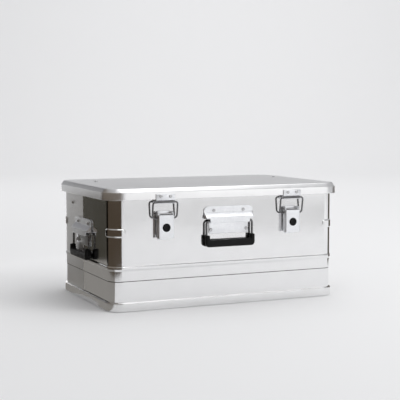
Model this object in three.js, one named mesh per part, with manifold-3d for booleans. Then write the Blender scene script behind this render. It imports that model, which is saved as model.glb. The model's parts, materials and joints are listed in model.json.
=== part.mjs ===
// Aluminium transport case: a sheet body with rounded corners and pressed beads, a hinged overhanging lid,
// two over-centre bail latches on the front and three drop handles. Millimetres, +Z up.
// The origin is the middle of the footprint on the ground. The front faces -Y.

import * as THREE from "three";
import { mergeVertices } from "three/addons/utils/BufferGeometryUtils.js";
import Module from "manifold-3d";

const wasm = await Module();
wasm.setup();

// ---- Driving dimensions -------------------------------------------------------------------------

const BODY_WIDTH = 560;
const BODY_DEPTH = 356.6;
const BODY_CORNER = 30;
const HALF_X = BODY_WIDTH / 2;
const HALF_Y = BODY_DEPTH / 2;
const SHEET = 1.5; // drawn thickness of the body and lid sheet
const GAP = 0.3; // clearance left between touching pieces
const CORNER_STEPS = 4; // facets round each vertical corner

// Heights of the body, from the ground up
const SHEET_FOOT = 2.5;
const STEP_Z = 66.5; // crease where the wall steps out
const STEP_DEPTH = 1;
const BEAD_Z = 95; // middle of the bead that runs all round
const BEAD_HEIGHT = 11;
const BEAD_RISE = 1.6;
const CORNER_BEAD = { low: 163.5, high: 182.5, rise: 1.8, past: 3.6 };
const WALL_TOP = 256.5;
const SEAM_Y = 18; // the rear sheet tucks behind the front sheet here
const LAP = 20;

// Base rim, a rolled profile that stands proud of the wall
const RIM_RISE = 3.5;
const RIM_HEIGHT = 20.5;
const RIM_FOOT = 14; // how far its foot reaches under the body
const PAN_FLANGE = 24;

// Frame round the mouth of the body: a lip outside the wall, over its top edge and down inside
const MOUTH = { lip: 247, out: 2, insideFoot: 248, rise: 2.3 };

// Lid
const LID_OVERHANG = 12;
const SKIRT_FOOT = 245;
const SKIRT_TOP = 260.5;
const LID_TOP = 270;
const HEM = { inner: 3.4, lipTop: 248.4, wall: 1.4 }; // folded edge inside the foot of the skirt
const SEAL = { inner: -4.5, outer: 1.5 };

// Lid hinge axis, behind and below the skirt
const HINGE = { standoff: 14.3, z: 238.5, x: 150, barrel: 5, pin: 2.4, width: 60, middle: 26 };
const BODY_LEAF = { foot: 194, top: 224, crank: 222, backingFoot: 197, backingTop: 215 };
const LID_LEAF = { foot: 245.5, top: 259, backingFoot: 248.9 };
const LID_PLATE = 1.6; // thickness of the plates riveted to the lid

// Rivets
const RIVET = { stem: 2.2, head: 4.2, rise: 1.8 };
const PLATE = 2; // thickness of every riveted steel plate
const BACKING = 1.5; // strip behind the sheet that the rivets are closed on

// Drop handles, measured from the hinge axis of the bail
const HANDLE_AXIS_Z = 192; // front handle
const SIDE_HANDLE_DROP = 34.4; // the side handles sit lower by this
const SIDE_HANDLE_Y = 12.5;
const HANDLE = {
  axisStandoff: 7,
  flangeHalf: 61,
  plateHalf: 48.5,
  top: 32.6,
  bottom: -29,
  hoodTop: 19,
  hoodRidge: 8,
  hoodFoot: -4.5,
  hoodDepth: 12.3,
  armX: 57,
  endX: 41, // where the ends of the bail stop inside the hood
  rod: 2.5,
  barDrop: 50.5,
};
const GRIP = { half: 61, inner: 51, top: -32, barTop: -42.5, foot: -58.5, near: 2.5, far: 16.5 };

// Latches
const LATCH_X = 158;
const CATCH = {
  half: 22.5,
  top: 257,
  foot: 244.5,
  rivetX: 11.3,
  rivetZ: 251.6,
  backingHalf: 20,
  hookTop: 242.9,
  hookNear: 8.6,
  shelf: 237.3,
  shelfFar: 14.4,
};
const LATCH_BASE = {
  foot: 163,
  top: 219,
  earOut: 16.2,
  earIn: 14.4,
  earFoot: 207,
  tabHalf: 12.5,
  tabFoot: 155,
};
const LEVER_PIVOT = { standoff: 8, z: 212.5, pin: 2 };
const BAIL_PIVOT = { standoff: 7, z: 203.5 };
const BAIL = { half: 29, inner: 14.8, wire: 1.9, corner: 6.5, barStandoff: 12.5, barZ: 239.7 };
const LEVER = { half: 18.5, wall: 1.6, front: 18, foot: 159, frontTop: 210.5, back: 3.2, heel: 5 };
const PLUG = { z: 183, flange: 9.3, stem: 8, rise: 1.3, depth: 8 };

// Lid stays: a webbing strap each side, from the side wall to the lid
const STAY = { wallY: 98, wallZ: 221, leftLidX: -228, rightLidX: 254, lidY: 77, thick: 1.4 };
const WASHER = { radius: 8, thick: 1.2 };

// ---- Materials ----------------------------------------------------------------------------------

const metal = (color, roughness) =>
  new THREE.MeshStandardMaterial({ color, roughness, metalness: 1 });
const moulded = (color, roughness) =>
  new THREE.MeshStandardMaterial({ color, roughness, metalness: 0 });

const sheetMetal = metal(0xd9dadc, 0.35);
const rimMetal = metal(0xcfd0d2, 0.4);
const plateSteel = metal(0xe4e6e8, 0.3);
const wireSteel = metal(0x8d8f92, 0.3);
const rivetMetal = metal(0xb9bbbd, 0.35);
const blackPlastic = moulded(0x101012, 0.45);
const sealRubber = moulded(0x1c1c1e, 0.8);
const webbing = moulded(0x202022, 0.9);

// ---- Geometry helpers ---------------------------------------------------------------------------

// A closed three.js geometry as a solid that can be cut and joined
function solid(geometry) {
  const bare = geometry.clone();
  bare.deleteAttribute("normal");
  bare.deleteAttribute("uv");
  const merged = mergeVertices(bare, 1e-4);
  return new wasm.Manifold(
    new wasm.Mesh({
      numProp: 3,
      vertProperties: new Float32Array(merged.attributes.position.array),
      triVerts: new Uint32Array(merged.index.array),
    }),
  );
}

function geometryOf(made) {
  const mesh = made.getMesh();
  const geometry = new THREE.BufferGeometry();
  geometry.setAttribute("position", new THREE.BufferAttribute(mesh.vertProperties, 3));
  geometry.setIndex(new THREE.BufferAttribute(mesh.triVerts, 1));
  return geometry;
}

const join = (...solids) => solids.reduce((all, one) => all.add(one));
const cut = (from, ...tools) => tools.reduce((left, tool) => left.subtract(tool), from);

function box(x0, x1, y0, y1, z0, z1) {
  const geometry = new THREE.BoxGeometry(x1 - x0, y1 - y0, z1 - z0);
  geometry.translate((x0 + x1) / 2, (y0 + y1) / 2, (z0 + z1) / 2);
  return solid(geometry);
}

// A cylinder along X, centred at (y, z)
function rodX(x0, x1, y, z, radius, sides = 8) {
  const geometry = new THREE.CylinderGeometry(radius, radius, x1 - x0, sides);
  geometry.rotateZ(Math.PI / 2);
  geometry.translate((x0 + x1) / 2, y, z);
  return solid(geometry);
}

// A cylinder along Y, centred at (x, z)
function rodY(y0, y1, x, z, radius, sides = 8) {
  const geometry = new THREE.CylinderGeometry(radius, radius, y1 - y0, sides);
  geometry.translate(x, (y0 + y1) / 2, z);
  return solid(geometry);
}

// A section drawn as [y, z] points and run along X
function extrudeX(points, x0, x1) {
  const shape = new THREE.Shape(points.map(([y, z]) => new THREE.Vector2(y, z)));
  const geometry = new THREE.ExtrudeGeometry(shape, { depth: x1 - x0, bevelEnabled: false });
  geometry.applyMatrix4(
    new THREE.Matrix4().makeBasis(
      new THREE.Vector3(0, 1, 0),
      new THREE.Vector3(0, 0, 1),
      new THREE.Vector3(1, 0, 0),
    ),
  );
  geometry.translate(x0, 0, 0);
  return solid(geometry);
}

// A front view drawn as an x-z shape and given a depth from y0 to y1
function extrudeY(shape, y0, y1, curveSegments = 2) {
  const geometry = new THREE.ExtrudeGeometry(shape, {
    depth: y1 - y0,
    bevelEnabled: false,
    curveSegments,
  });
  geometry.rotateX(Math.PI / 2);
  geometry.translate(0, y1, 0);
  return solid(geometry);
}

// A rectangle with rounded corners in the x-z plane; radii in the order foot, top
function roundedPanel(halfX, z0, z1, footRadius, topRadius) {
  const shape = new THREE.Shape();
  shape.moveTo(-halfX + footRadius, z0);
  shape.lineTo(halfX - footRadius, z0);
  shape.absarc(halfX - footRadius, z0 + footRadius, footRadius, -Math.PI / 2, 0);
  shape.lineTo(halfX, z1 - topRadius);
  shape.absarc(halfX - topRadius, z1 - topRadius, topRadius, 0, Math.PI / 2);
  shape.lineTo(-halfX + topRadius, z1);
  shape.absarc(-halfX + topRadius, z1 - topRadius, topRadius, Math.PI / 2, Math.PI);
  shape.lineTo(-halfX, z0 + footRadius);
  shape.absarc(-halfX + footRadius, z0 + footRadius, footRadius, Math.PI, 1.5 * Math.PI);
  return shape;
}

// The body's plan outline, moved outwards by offset
function outline(offset) {
  const x = HALF_X + offset;
  const y = HALF_Y + offset;
  const r = BODY_CORNER + offset;
  const shape = new THREE.Shape();
  shape.moveTo(-x + r, -y);
  shape.lineTo(x - r, -y);
  shape.absarc(x - r, -y + r, r, -Math.PI / 2, 0);
  shape.lineTo(x, y - r);
  shape.absarc(x - r, y - r, r, 0, Math.PI / 2);
  shape.lineTo(-x + r, y);
  shape.absarc(-x + r, y - r, r, Math.PI / 2, Math.PI);
  shape.lineTo(-x, -y + r);
  shape.absarc(-x + r, -y + r, r, Math.PI, 1.5 * Math.PI);
  return shape;
}

// Outline points at one offset and height, without the repeated last point
function contour([offset, z]) {
  const points = outline(offset).getPoints(CORNER_STEPS);
  if (points[0].distanceTo(points.at(-1)) < 1e-6) points.pop();
  return points.map((p) => new THREE.Vector3(p.x, p.y, z));
}

// Walls between neighbouring contours; closed joins the last contour to the first
function skin(contours, closed) {
  const count = contours[0].length;
  const positions = contours.flat().flatMap((p) => p.toArray());
  const index = [];
  const rows = closed ? contours.length : contours.length - 1;
  for (let row = 0; row < rows; row += 1) {
    const here = row * count;
    const next = ((row + 1) % contours.length) * count;
    for (let i = 0; i < count; i += 1) {
      const j = (i + 1) % count;
      index.push(here + i, here + j, next + j);
      index.push(here + i, next + j, next + i);
    }
  }
  const geometry = new THREE.BufferGeometry();
  geometry.setAttribute("position", new THREE.Float32BufferAttribute(positions, 3));
  geometry.setIndex(index);
  return { geometry, index, count };
}

// A closed section of [offset, z] points, drawn anticlockwise as seen with outwards to the right,
// run all round the body
function ring(section) {
  return solid(skin(section.map(contour), true).geometry);
}

// A solid block whose outline changes with height, from the lowest level to the highest
function block(levels) {
  const contours = levels.map(contour);
  const { geometry, index, count } = skin(contours, false);
  const cap = THREE.ShapeUtils.triangulateShape(contours[0], []);
  const top = (levels.length - 1) * count;
  for (const [a, b, c] of cap) {
    index.push(a, c, b);
    index.push(top + a, top + b, top + c);
  }
  geometry.setIndex(index);
  return solid(geometry);
}

// A path of straight runs and arcs that is sampled exactly at its own points
class BentPath extends THREE.Curve {
  constructor(points) {
    super();
    this.points = points;
  }
  getUtoTmapping(u) {
    return u;
  }
  getPoint(t, target = new THREE.Vector3()) {
    const at = THREE.MathUtils.clamp(t, 0, 1) * (this.points.length - 1);
    const i = Math.min(Math.floor(at), this.points.length - 2);
    return target.lerpVectors(this.points[i], this.points[i + 1], at - i);
  }
}

// A rod through corner points, with each inner corner rounded to a bend radius
function bentRod(corners, radius, bend, sides = 6, bendSteps = 3) {
  const points = [corners[0].clone()];
  for (let i = 1; i < corners.length - 1; i += 1) {
    const back = corners[i - 1].clone().sub(corners[i]).normalize();
    const on = corners[i + 1].clone().sub(corners[i]).normalize();
    const start = corners[i].clone().addScaledVector(back, bend);
    const end = corners[i].clone().addScaledVector(on, bend);
    const centre = start.clone().add(end).sub(corners[i]);
    for (let step = 0; step <= bendSteps; step += 1) {
      const angle = (step / bendSteps) * (Math.PI / 2);
      points.push(
        centre
          .clone()
          .addScaledVector(on, -bend * Math.cos(angle))
          .addScaledVector(back, -bend * Math.sin(angle)),
      );
    }
  }
  points.push(corners.at(-1).clone());
  const section = new THREE.Shape();
  section.absarc(0, 0, radius, 0, 2 * Math.PI);
  const geometry = new THREE.ExtrudeGeometry(section, {
    steps: points.length - 1,
    extrudePath: new BentPath(points),
    curveSegments: sides / 2,
    bevelEnabled: false,
  });
  return solid(geometry);
}

// A rivet along Y at (x, z): its head stands on the face at headY and its stem ends at stemY
function rivet(x, z, headY, stemY) {
  const { stem, head, rise } = RIVET;
  const profile = [
    [0, headY - rise],
    [head * 0.7, headY - rise],
    [head, headY],
    [stem, headY],
    [stem, stemY],
    [0, stemY],
  ].map(([r, y]) => new THREE.Vector2(r, y));
  const geometry = new THREE.LatheGeometry(profile, 8);
  geometry.translate(x, 0, z);
  return solid(geometry);
}

// The clearance hole for a rivet
const rivetHole = (x, z) => rodY(-20, 20, x, z, RIVET.stem + GAP);

// ---- Scene graph --------------------------------------------------------------------------------

const transportCase = new THREE.Group();

function add(group, name, made, material) {
  const mesh = new THREE.Mesh(geometryOf(made), material);
  mesh.name = name;
  group.add(mesh);
  return mesh;
}

// A frame on one wall: x along the wall, -y outwards from its face, z up from the ground
function wallFrame(x, y, turn) {
  const group = new THREE.Group();
  group.position.set(x, y, 0);
  group.rotation.z = turn;
  group.updateMatrix();
  transportCase.add(group);
  return group;
}

const frontWall = wallFrame(0, -HALF_Y, 0);
const leftWall = wallFrame(-HALF_X, SIDE_HANDLE_Y, -Math.PI / 2);
const rightWall = wallFrame(HALF_X, SIDE_HANDLE_Y, Math.PI / 2);
const rearWall = wallFrame(0, HALF_Y, Math.PI);
const toCase = (made, group) => made.transform(group.matrix.toArray());

// Clearance holes in the sheets, collected in the case's own frame while the hardware is made
const wallHoles = [];
const lidHoles = [];

// ---- Handles ------------------------------------------------------------------------------------

const HANDLE_RIVETS = [
  [-36.7, 23.4],
  [36.7, 23.4],
  [-44.4, -20],
  [44.4, -20],
];

function handlePlate(axisZ) {
  const { flangeHalf, plateHalf, top, bottom, hoodTop, hoodRidge, hoodFoot, hoodDepth } = HANDLE;
  const back = -GAP;
  const face = -GAP - PLATE;
  const skinDepth = 1.6;
  const upper = extrudeY(roundedPanel(flangeHalf, axisZ + hoodRidge - 3, axisZ + top, 0.5, 10), face, back);
  const lower = extrudeY(
    roundedPanel(plateHalf, axisZ + bottom, axisZ + hoodRidge, 3, 0.5),
    face,
    back,
  );
  // The pressed hood that the ends of the bail turn in, open below
  const outer = [
    [back, axisZ + hoodTop],
    [-hoodDepth, axisZ + hoodRidge],
    [-hoodDepth, axisZ + hoodFoot],
    [back, axisZ + hoodFoot],
  ];
  const inner = [
    [face, axisZ + hoodTop - 3.6],
    [-hoodDepth + skinDepth, axisZ + hoodRidge - 1],
    [-hoodDepth + skinDepth, axisZ + hoodFoot - 1],
    [face, axisZ + hoodFoot - 1],
  ];
  const cheek = 1.8;
  const cheekX = plateHalf - cheek;
  const hood = cut(extrudeX(outer, -flangeHalf, flangeHalf), extrudeX(inner, -cheekX, cheekX));
  const arm = HANDLE.rod + 2.6;
  let plate = join(upper, lower, hood);
  for (const side of [-1, 1]) {
    const x0 = side < 0 ? -flangeHalf - 1 : plateHalf;
    const x1 = side < 0 ? -plateHalf : flangeHalf + 1;
    plate = cut(plate, box(x0, x1, -hoodDepth - 1, face, axisZ - 20, axisZ + arm));
    plate = cut(plate, box(x0, x1, -hoodDepth + skinDepth, face, axisZ, axisZ + hoodRidge - 1));
  }
  return cut(
    plate,
    rodX(-flangeHalf, flangeHalf, -HANDLE.axisStandoff, axisZ, HANDLE.rod + GAP),
    ...HANDLE_RIVETS.map(([x, z]) => rivetHole(x, axisZ + z)),
  );
}

// The side handles' backing also spans the seam, where the sheet is double
function handleRivets(axisZ, sheets) {
  const backingFace = sheets * (SHEET + GAP);
  const { top, bottom } = HANDLE;
  const backing = extrudeY(
    roundedPanel(50, axisZ + bottom + 3, axisZ + top - 3, 6, 6),
    backingFace,
    backingFace + BACKING,
  );
  const headY = -PLATE - 2 * GAP;
  return join(
    backing,
    ...HANDLE_RIVETS.map(([x, z]) => rivet(x, axisZ + z, headY, backingFace + BACKING / 2)),
  );
}

function handleBailPath(axisZ) {
  const y = -HANDLE.axisStandoff;
  const foot = axisZ - HANDLE.barDrop;
  return [
    new THREE.Vector3(-HANDLE.endX, y, axisZ),
    new THREE.Vector3(-HANDLE.armX, y, axisZ),
    new THREE.Vector3(-HANDLE.armX, y, foot),
    new THREE.Vector3(HANDLE.armX, y, foot),
    new THREE.Vector3(HANDLE.armX, y, axisZ),
    new THREE.Vector3(HANDLE.endX, y, axisZ),
  ];
}

function handleGrip(axisZ) {
  const { half, inner, top, barTop, foot, near, far } = GRIP;
  const bevel = 2.5;
  const outerRadius = 12;
  const innerRadius = 4;
  const shape = new THREE.Shape();
  shape.moveTo(-half, top);
  shape.absarc(-half + outerRadius, foot + outerRadius, outerRadius, Math.PI, 1.5 * Math.PI);
  shape.absarc(half - outerRadius, foot + outerRadius, outerRadius, 1.5 * Math.PI, 2 * Math.PI);
  shape.lineTo(half, top);
  shape.lineTo(inner, top);
  shape.absarc(inner - innerRadius, barTop + innerRadius, innerRadius, 0, -Math.PI / 2, true);
  shape.absarc(-inner + innerRadius, barTop + innerRadius, innerRadius, -Math.PI / 2, -Math.PI, true);
  shape.lineTo(-inner, top);
  const geometry = new THREE.ExtrudeGeometry(shape, {
    depth: far - near - 2 * bevel,
    bevelThickness: bevel,
    bevelSize: bevel,
    bevelOffset: -bevel,
    bevelSegments: 1,
    curveSegments: 3,
  });
  geometry.rotateX(Math.PI / 2);
  geometry.translate(0, -near - bevel, axisZ);
  return cut(solid(geometry), bentRod(handleBailPath(axisZ), HANDLE.rod + GAP, 8));
}

function makeHandle(group, side, axisZ, sheets) {
  add(group, `${side}_handle_plate`, handlePlate(axisZ), plateSteel);
  add(group, `${side}_handle_rivets`, handleRivets(axisZ, sheets), rivetMetal);
  add(group, `${side}_handle_bail`, bentRod(handleBailPath(axisZ), HANDLE.rod, 8), wireSteel);
  add(group, `${side}_handle_grip`, handleGrip(axisZ), blackPlastic);
  for (const [x, z] of HANDLE_RIVETS) {
    wallHoles.push(toCase(rivetHole(x, axisZ + z), group));
  }
}

// ---- Latches ------------------------------------------------------------------------------------

const LATCH_RIVET_Z = [170, 196];

function latchBase(x) {
  const back = -GAP;
  const face = -GAP - PLATE;
  const { standoff, z, pin } = LEVER_PIVOT;
  const { foot, top, earOut, earIn, earFoot, tabHalf, tabFoot } = LATCH_BASE;
  const ear = [
    [face, top],
    [-standoff, z + 4.4],
    [-standoff - 3.4, z + 2.6],
    [-standoff - 4.2, z],
    [-standoff - 3.4, z - 2.6],
    [-standoff, z - 4.4],
    [face + 0.5, earFoot],
    [back - 0.5, earFoot],
    [back - 0.5, top],
  ];
  const tab = extrudeY(roundedPanel(tabHalf, tabFoot, foot + 7, 4, 0.5), face, back);
  const plate = extrudeY(roundedPanel(earOut, foot, top, 1, 3), face, back);
  const made = cut(
    join(tab, plate, extrudeX(ear, -earOut, -earIn), extrudeX(ear, earIn, earOut)),
    rodX(-20, 20, -standoff, z, pin + GAP),
    ...LATCH_RIVET_Z.map((rivetZ) => rivetHole(0, rivetZ)),
  );
  return made.translate([x, 0, 0]);
}

function latchRivets(x) {
  const inside = SHEET + GAP;
  const [low, high] = LATCH_RIVET_Z;
  const backing = extrudeY(roundedPanel(12, low - 10, high + 10, 3, 3), inside, inside + BACKING);
  const headY = -PLATE - 2 * GAP;
  const rivets = LATCH_RIVET_Z.map((z) => rivet(0, z, headY, inside + BACKING / 2));
  return join(backing, ...rivets).translate([x, 0, 0]);
}

function latchLever(x) {
  const { half, wall, front, foot, frontTop, back, heel } = LEVER;
  const side = [
    [-front, foot],
    [-front, frontTop],
    [-13.2, 213],
    [-12.4, 216.6],
    [-9.5, 218.2],
    [-5.2, 217.6],
    [-back, 214],
    [-back, foot + 7],
    [-back - 4, foot],
  ];
  const walls = [
    extrudeX(side, -half, -half + wall),
    extrudeX(side, half - wall, half),
  ];
  const face = extrudeY(roundedPanel(half, foot, frontTop, 2.5, 0.5), -front, -front + wall);
  const heelFold = box(-half, half, -front, -front + heel, foot, foot + wall);
  return cut(
    join(...walls, face, heelFold),
    rodX(-half - 1, half + 1, -LEVER_PIVOT.standoff, LEVER_PIVOT.z, LEVER_PIVOT.pin + GAP),
    rodX(-half - 1, half + 1, -BAIL_PIVOT.standoff, BAIL_PIVOT.z, BAIL.wire + GAP),
    rodY(-front - 1, -front + wall + 1, 0, PLUG.z, PLUG.stem + GAP + 0.2, 16),
  ).translate([x, 0, 0]);
}

function latchPin(x) {
  const { standoff, z, pin } = LEVER_PIVOT;
  const reach = LEVER.half + GAP;
  return join(
    rodX(-reach - 1.4, reach + 1.4, -standoff, z, pin),
    rodX(-reach - 1.4, -reach, -standoff, z, pin + 1.2),
    rodX(reach, reach + 1.4, -standoff, z, pin + 1.2),
  ).translate([x, 0, 0]);
}

function latchPlug(x) {
  const { flange, stem, rise, depth, z } = PLUG;
  const face = -LEVER.front - GAP;
  const profile = [
    [0, face - rise],
    [flange * 0.9, face - rise],
    [flange, face - rise * 0.4],
    [flange, face],
    [stem, face],
    [stem, face + depth],
    [0, face + depth],
  ].map(([r, y]) => new THREE.Vector2(r, y));
  const geometry = new THREE.LatheGeometry(profile, 16);
  geometry.translate(x, 0, z);
  return solid(geometry);
}

function latchBail(x) {
  const { half, inner, wire, corner, barStandoff, barZ } = BAIL;
  const rise = barZ - BAIL_PIVOT.z;
  const lean = barStandoff - BAIL_PIVOT.standoff;
  const at = (px, share) =>
    new THREE.Vector3(x + px, -BAIL_PIVOT.standoff - lean * share, BAIL_PIVOT.z + rise * share);
  const corners = [at(-inner, 0), at(-half, 0), at(-half, 1), at(half, 1), at(half, 0), at(inner, 0)];
  return bentRod(corners, wire, corner);
}

function latchCatch(x) {
  const { half, top, foot, rivetX, rivetZ, hookTop, hookNear, shelf, shelfFar } = CATCH;
  const near = LID_OVERHANG + GAP;
  const far = near + LID_PLATE;
  const section = [
    [-near, top],
    [-far, top],
    [-far, hookTop],
    [-hookNear - LID_PLATE, hookTop],
    [-hookNear - LID_PLATE, shelf],
    [-shelfFar, shelf],
    [-shelfFar, shelf - LID_PLATE],
    [-hookNear, shelf - LID_PLATE],
    [-hookNear, foot],
    [-near, foot],
  ];
  const holes = [-rivetX, rivetX].map((rx) => rivetHole(rx, rivetZ));
  return cut(extrudeX(section, -half, half), ...holes).translate([x, 0, 0]);
}

// Rivets through the lid skirt, closed on a strip behind it
function skirtRivets(x, rivetXs, z, strip) {
  const inside = -LID_OVERHANG + SHEET + GAP;
  const backing = box(-strip, strip, inside, inside + BACKING, LID_LEAF.backingFoot, z + 4.5);
  const headY = -LID_OVERHANG - LID_PLATE - 2 * GAP;
  const rivets = rivetXs.map((rx) => rivet(rx, z, headY, inside + BACKING / 2));
  return join(backing, ...rivets).translate([x, 0, 0]);
}

function makeLatch(side, x) {
  add(frontWall, `${side}_latch_base`, latchBase(x), plateSteel);
  add(frontWall, `${side}_latch_rivets`, latchRivets(x), rivetMetal);
  add(frontWall, `${side}_latch_pin`, latchPin(x), rivetMetal);
  add(frontWall, `${side}_latch_lever`, latchLever(x), plateSteel);
  add(frontWall, `${side}_latch_plug`, latchPlug(x), blackPlastic);
  add(frontWall, `${side}_latch_bail`, latchBail(x), wireSteel);
  add(frontWall, `${side}_catch`, latchCatch(x), plateSteel);
  const rivetXs = [-CATCH.rivetX, CATCH.rivetX];
  const catchRivets = skirtRivets(x, rivetXs, CATCH.rivetZ, CATCH.backingHalf);
  add(frontWall, `${side}_catch_rivets`, catchRivets, rivetMetal);
  for (const z of LATCH_RIVET_Z) wallHoles.push(toCase(rivetHole(x, z), frontWall));
  for (const rx of rivetXs) lidHoles.push(toCase(rivetHole(x + rx, CATCH.rivetZ), frontWall));
}

// ---- Hinges, made in the rear wall's frame ------------------------------------------------------

const HINGE_RIVET_X = [-19, 19];
const BODY_LEAF_RIVET_Z = 206;
const LID_LEAF_RIVET_Z = 254;

function hingeBodyLeaf(x) {
  const { standoff, z, barrel, pin, width, middle } = HINGE;
  const half = width / 2;
  const back = -GAP;
  const face = -GAP - PLATE;
  const { foot, top, crank } = BODY_LEAF;
  const plate = extrudeY(roundedPanel(half, foot, top, 4, 0.5), face, back);
  // The leaf is cranked out under the lid's skirt to reach the barrel
  const crankSection = [
    [back, crank],
    [face, crank],
    [-standoff - 1, z - 3],
    [-standoff + 2, z - 1],
    [back, crank + 3],
  ];
  const knuckle = rodX(-half, half, -standoff, z, barrel, 10);
  // Room for the lid leaf's knuckle, cut well past the barrel
  const notch = box(-middle / 2 - GAP, middle / 2 + GAP, -30, -4, 215, 250);
  return cut(
    join(plate, cut(join(extrudeX(crankSection, -half, half), knuckle), notch)),
    rodX(-half - 1, half + 1, -standoff, z, pin + GAP),
    ...HINGE_RIVET_X.map((rx) => rivetHole(rx, BODY_LEAF_RIVET_Z)),
  ).translate([x, 0, 0]);
}

function hingeLidLeaf(x) {
  const { standoff, z, barrel, pin, width, middle } = HINGE;
  const near = LID_OVERHANG + GAP;
  const far = near + LID_PLATE;
  const plate = box(-width / 2, width / 2, -far, -near, LID_LEAF.foot, LID_LEAF.top);
  const web = box(-middle / 2, middle / 2, -far, -near, z, LID_LEAF.foot + 0.5);
  const knuckle = rodX(-middle / 2, middle / 2, -standoff, z, barrel, 10);
  return cut(
    join(plate, web, knuckle),
    rodX(-middle, middle, -standoff, z, pin + GAP),
    ...HINGE_RIVET_X.map((rx) => rivetHole(rx, LID_LEAF_RIVET_Z)),
  ).translate([x, 0, 0]);
}

function hingeBodyRivets(x) {
  const inside = SHEET + GAP;
  const half = HINGE.width / 2 - 3;
  const { backingFoot, backingTop } = BODY_LEAF;
  const panel = roundedPanel(half, backingFoot, backingTop, 3, 3);
  const backing = extrudeY(panel, inside, inside + BACKING);
  const headY = -PLATE - 2 * GAP;
  const rivets = HINGE_RIVET_X.map((rx) =>
    rivet(rx, BODY_LEAF_RIVET_Z, headY, inside + BACKING / 2),
  );
  return join(backing, ...rivets).translate([x, 0, 0]);
}

function makeHinge(side, x) {
  const { standoff, z, pin, width } = HINGE;
  add(rearWall, `${side}_hinge_body_leaf`, hingeBodyLeaf(x), plateSteel);
  add(rearWall, `${side}_hinge_lid_leaf`, hingeLidLeaf(x), plateSteel);
  const pinSolid = rodX(x - width / 2, x + width / 2, -standoff, z, pin);
  add(rearWall, `${side}_hinge_pin`, pinSolid, wireSteel);
  add(rearWall, `${side}_hinge_body_rivets`, hingeBodyRivets(x), rivetMetal);
  const lidRivets = skirtRivets(x, HINGE_RIVET_X, LID_LEAF_RIVET_Z, width / 2 - 3);
  add(rearWall, `${side}_hinge_lid_rivets`, lidRivets, rivetMetal);
  for (const rx of HINGE_RIVET_X) {
    wallHoles.push(toCase(rivetHole(x + rx, BODY_LEAF_RIVET_Z), rearWall));
    lidHoles.push(toCase(rivetHole(x + rx, LID_LEAF_RIVET_Z), rearWall));
  }
}

// ---- Lid stays ----------------------------------------------------------------------------------

// A rivet with a washer on its inner end, made along Y and then turned to where it goes
function stayRivet(washerY) {
  const washer = rodY(washerY, washerY + WASHER.thick, 0, 0, WASHER.radius, 10);
  return join(rivet(0, 0, -GAP, washerY + WASHER.thick / 2), washer);
}

function makeStay(side, sign, lidX) {
  const strapGap = STAY.thick + 2 * GAP;
  const wall = new THREE.Group();
  wall.position.set(sign * HALF_X, STAY.wallY, STAY.wallZ);
  wall.rotation.z = (sign * Math.PI) / 2;
  wall.updateMatrix();
  transportCase.add(wall);
  add(wall, `${side}_stay_wall_rivet`, stayRivet(SHEET + strapGap), rivetMetal);
  wallHoles.push(toCase(rivetHole(0, 0), wall));

  const lid = new THREE.Group();
  lid.position.set(lidX, STAY.lidY, LID_TOP);
  lid.rotation.x = -Math.PI / 2;
  lid.updateMatrix();
  transportCase.add(lid);
  add(lid, `${side}_stay_lid_rivet`, stayRivet(SHEET + strapGap), rivetMetal);
  lidHoles.push(toCase(rivetHole(0, 0), lid));

  // The strap hangs slack inside the shut case, from the wall rivet to the lid rivet. It is drawn as a
  // cord as thick as the webbing
  const wallX = sign * (HALF_X - SHEET - GAP - STAY.thick / 2);
  const lidZ = LID_TOP - SHEET - GAP - STAY.thick / 2;
  const share = (t) => wallX + (lidX - wallX) * t;
  const points = [
    new THREE.Vector3(wallX, STAY.wallY + 12, STAY.wallZ - 3),
    new THREE.Vector3(wallX - sign, STAY.wallY + 24, STAY.wallZ + 6),
    new THREE.Vector3(share(0.35), STAY.wallY + 40, STAY.wallZ + 22),
    new THREE.Vector3(share(0.6), STAY.wallY + 36, STAY.wallZ + 34),
    new THREE.Vector3(share(0.85), STAY.lidY + 24, lidZ - 5),
    new THREE.Vector3(lidX, STAY.lidY + 11, lidZ),
  ];
  const section = new THREE.Shape();
  section.absarc(0, 0, STAY.thick / 2, 0, 2 * Math.PI);
  const geometry = new THREE.ExtrudeGeometry(section, {
    steps: 12,
    extrudePath: new THREE.CatmullRomCurve3(points),
    curveSegments: 4,
    bevelEnabled: false,
  });
  add(transportCase, `${side}_stay_strap`, solid(geometry), webbing);
}

// ---- Body and lid sheets ------------------------------------------------------------------------

// The wall's section. shift moves it inwards, and the plain form leaves out the bead
function wallSection(shift, beaded) {
  const s = -shift;
  const low = s - STEP_DEPTH;
  const bead = [
    [s, BEAD_Z - BEAD_HEIGHT / 2],
    [s + BEAD_RISE, BEAD_Z - BEAD_HEIGHT / 4],
    [s + BEAD_RISE, BEAD_Z + BEAD_HEIGHT / 4],
    [s, BEAD_Z + BEAD_HEIGHT / 2],
  ];
  return [
    [low, SHEET_FOOT],
    [low, STEP_Z - 1],
    [s, STEP_Z + 1],
    ...(beaded ? bead : []),
    [s, WALL_TOP],
    [s - SHEET, WALL_TOP],
    [s - SHEET, STEP_Z + 1],
    [low - SHEET, STEP_Z - 1],
    [low - SHEET, SHEET_FOOT],
  ];
}

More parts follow.
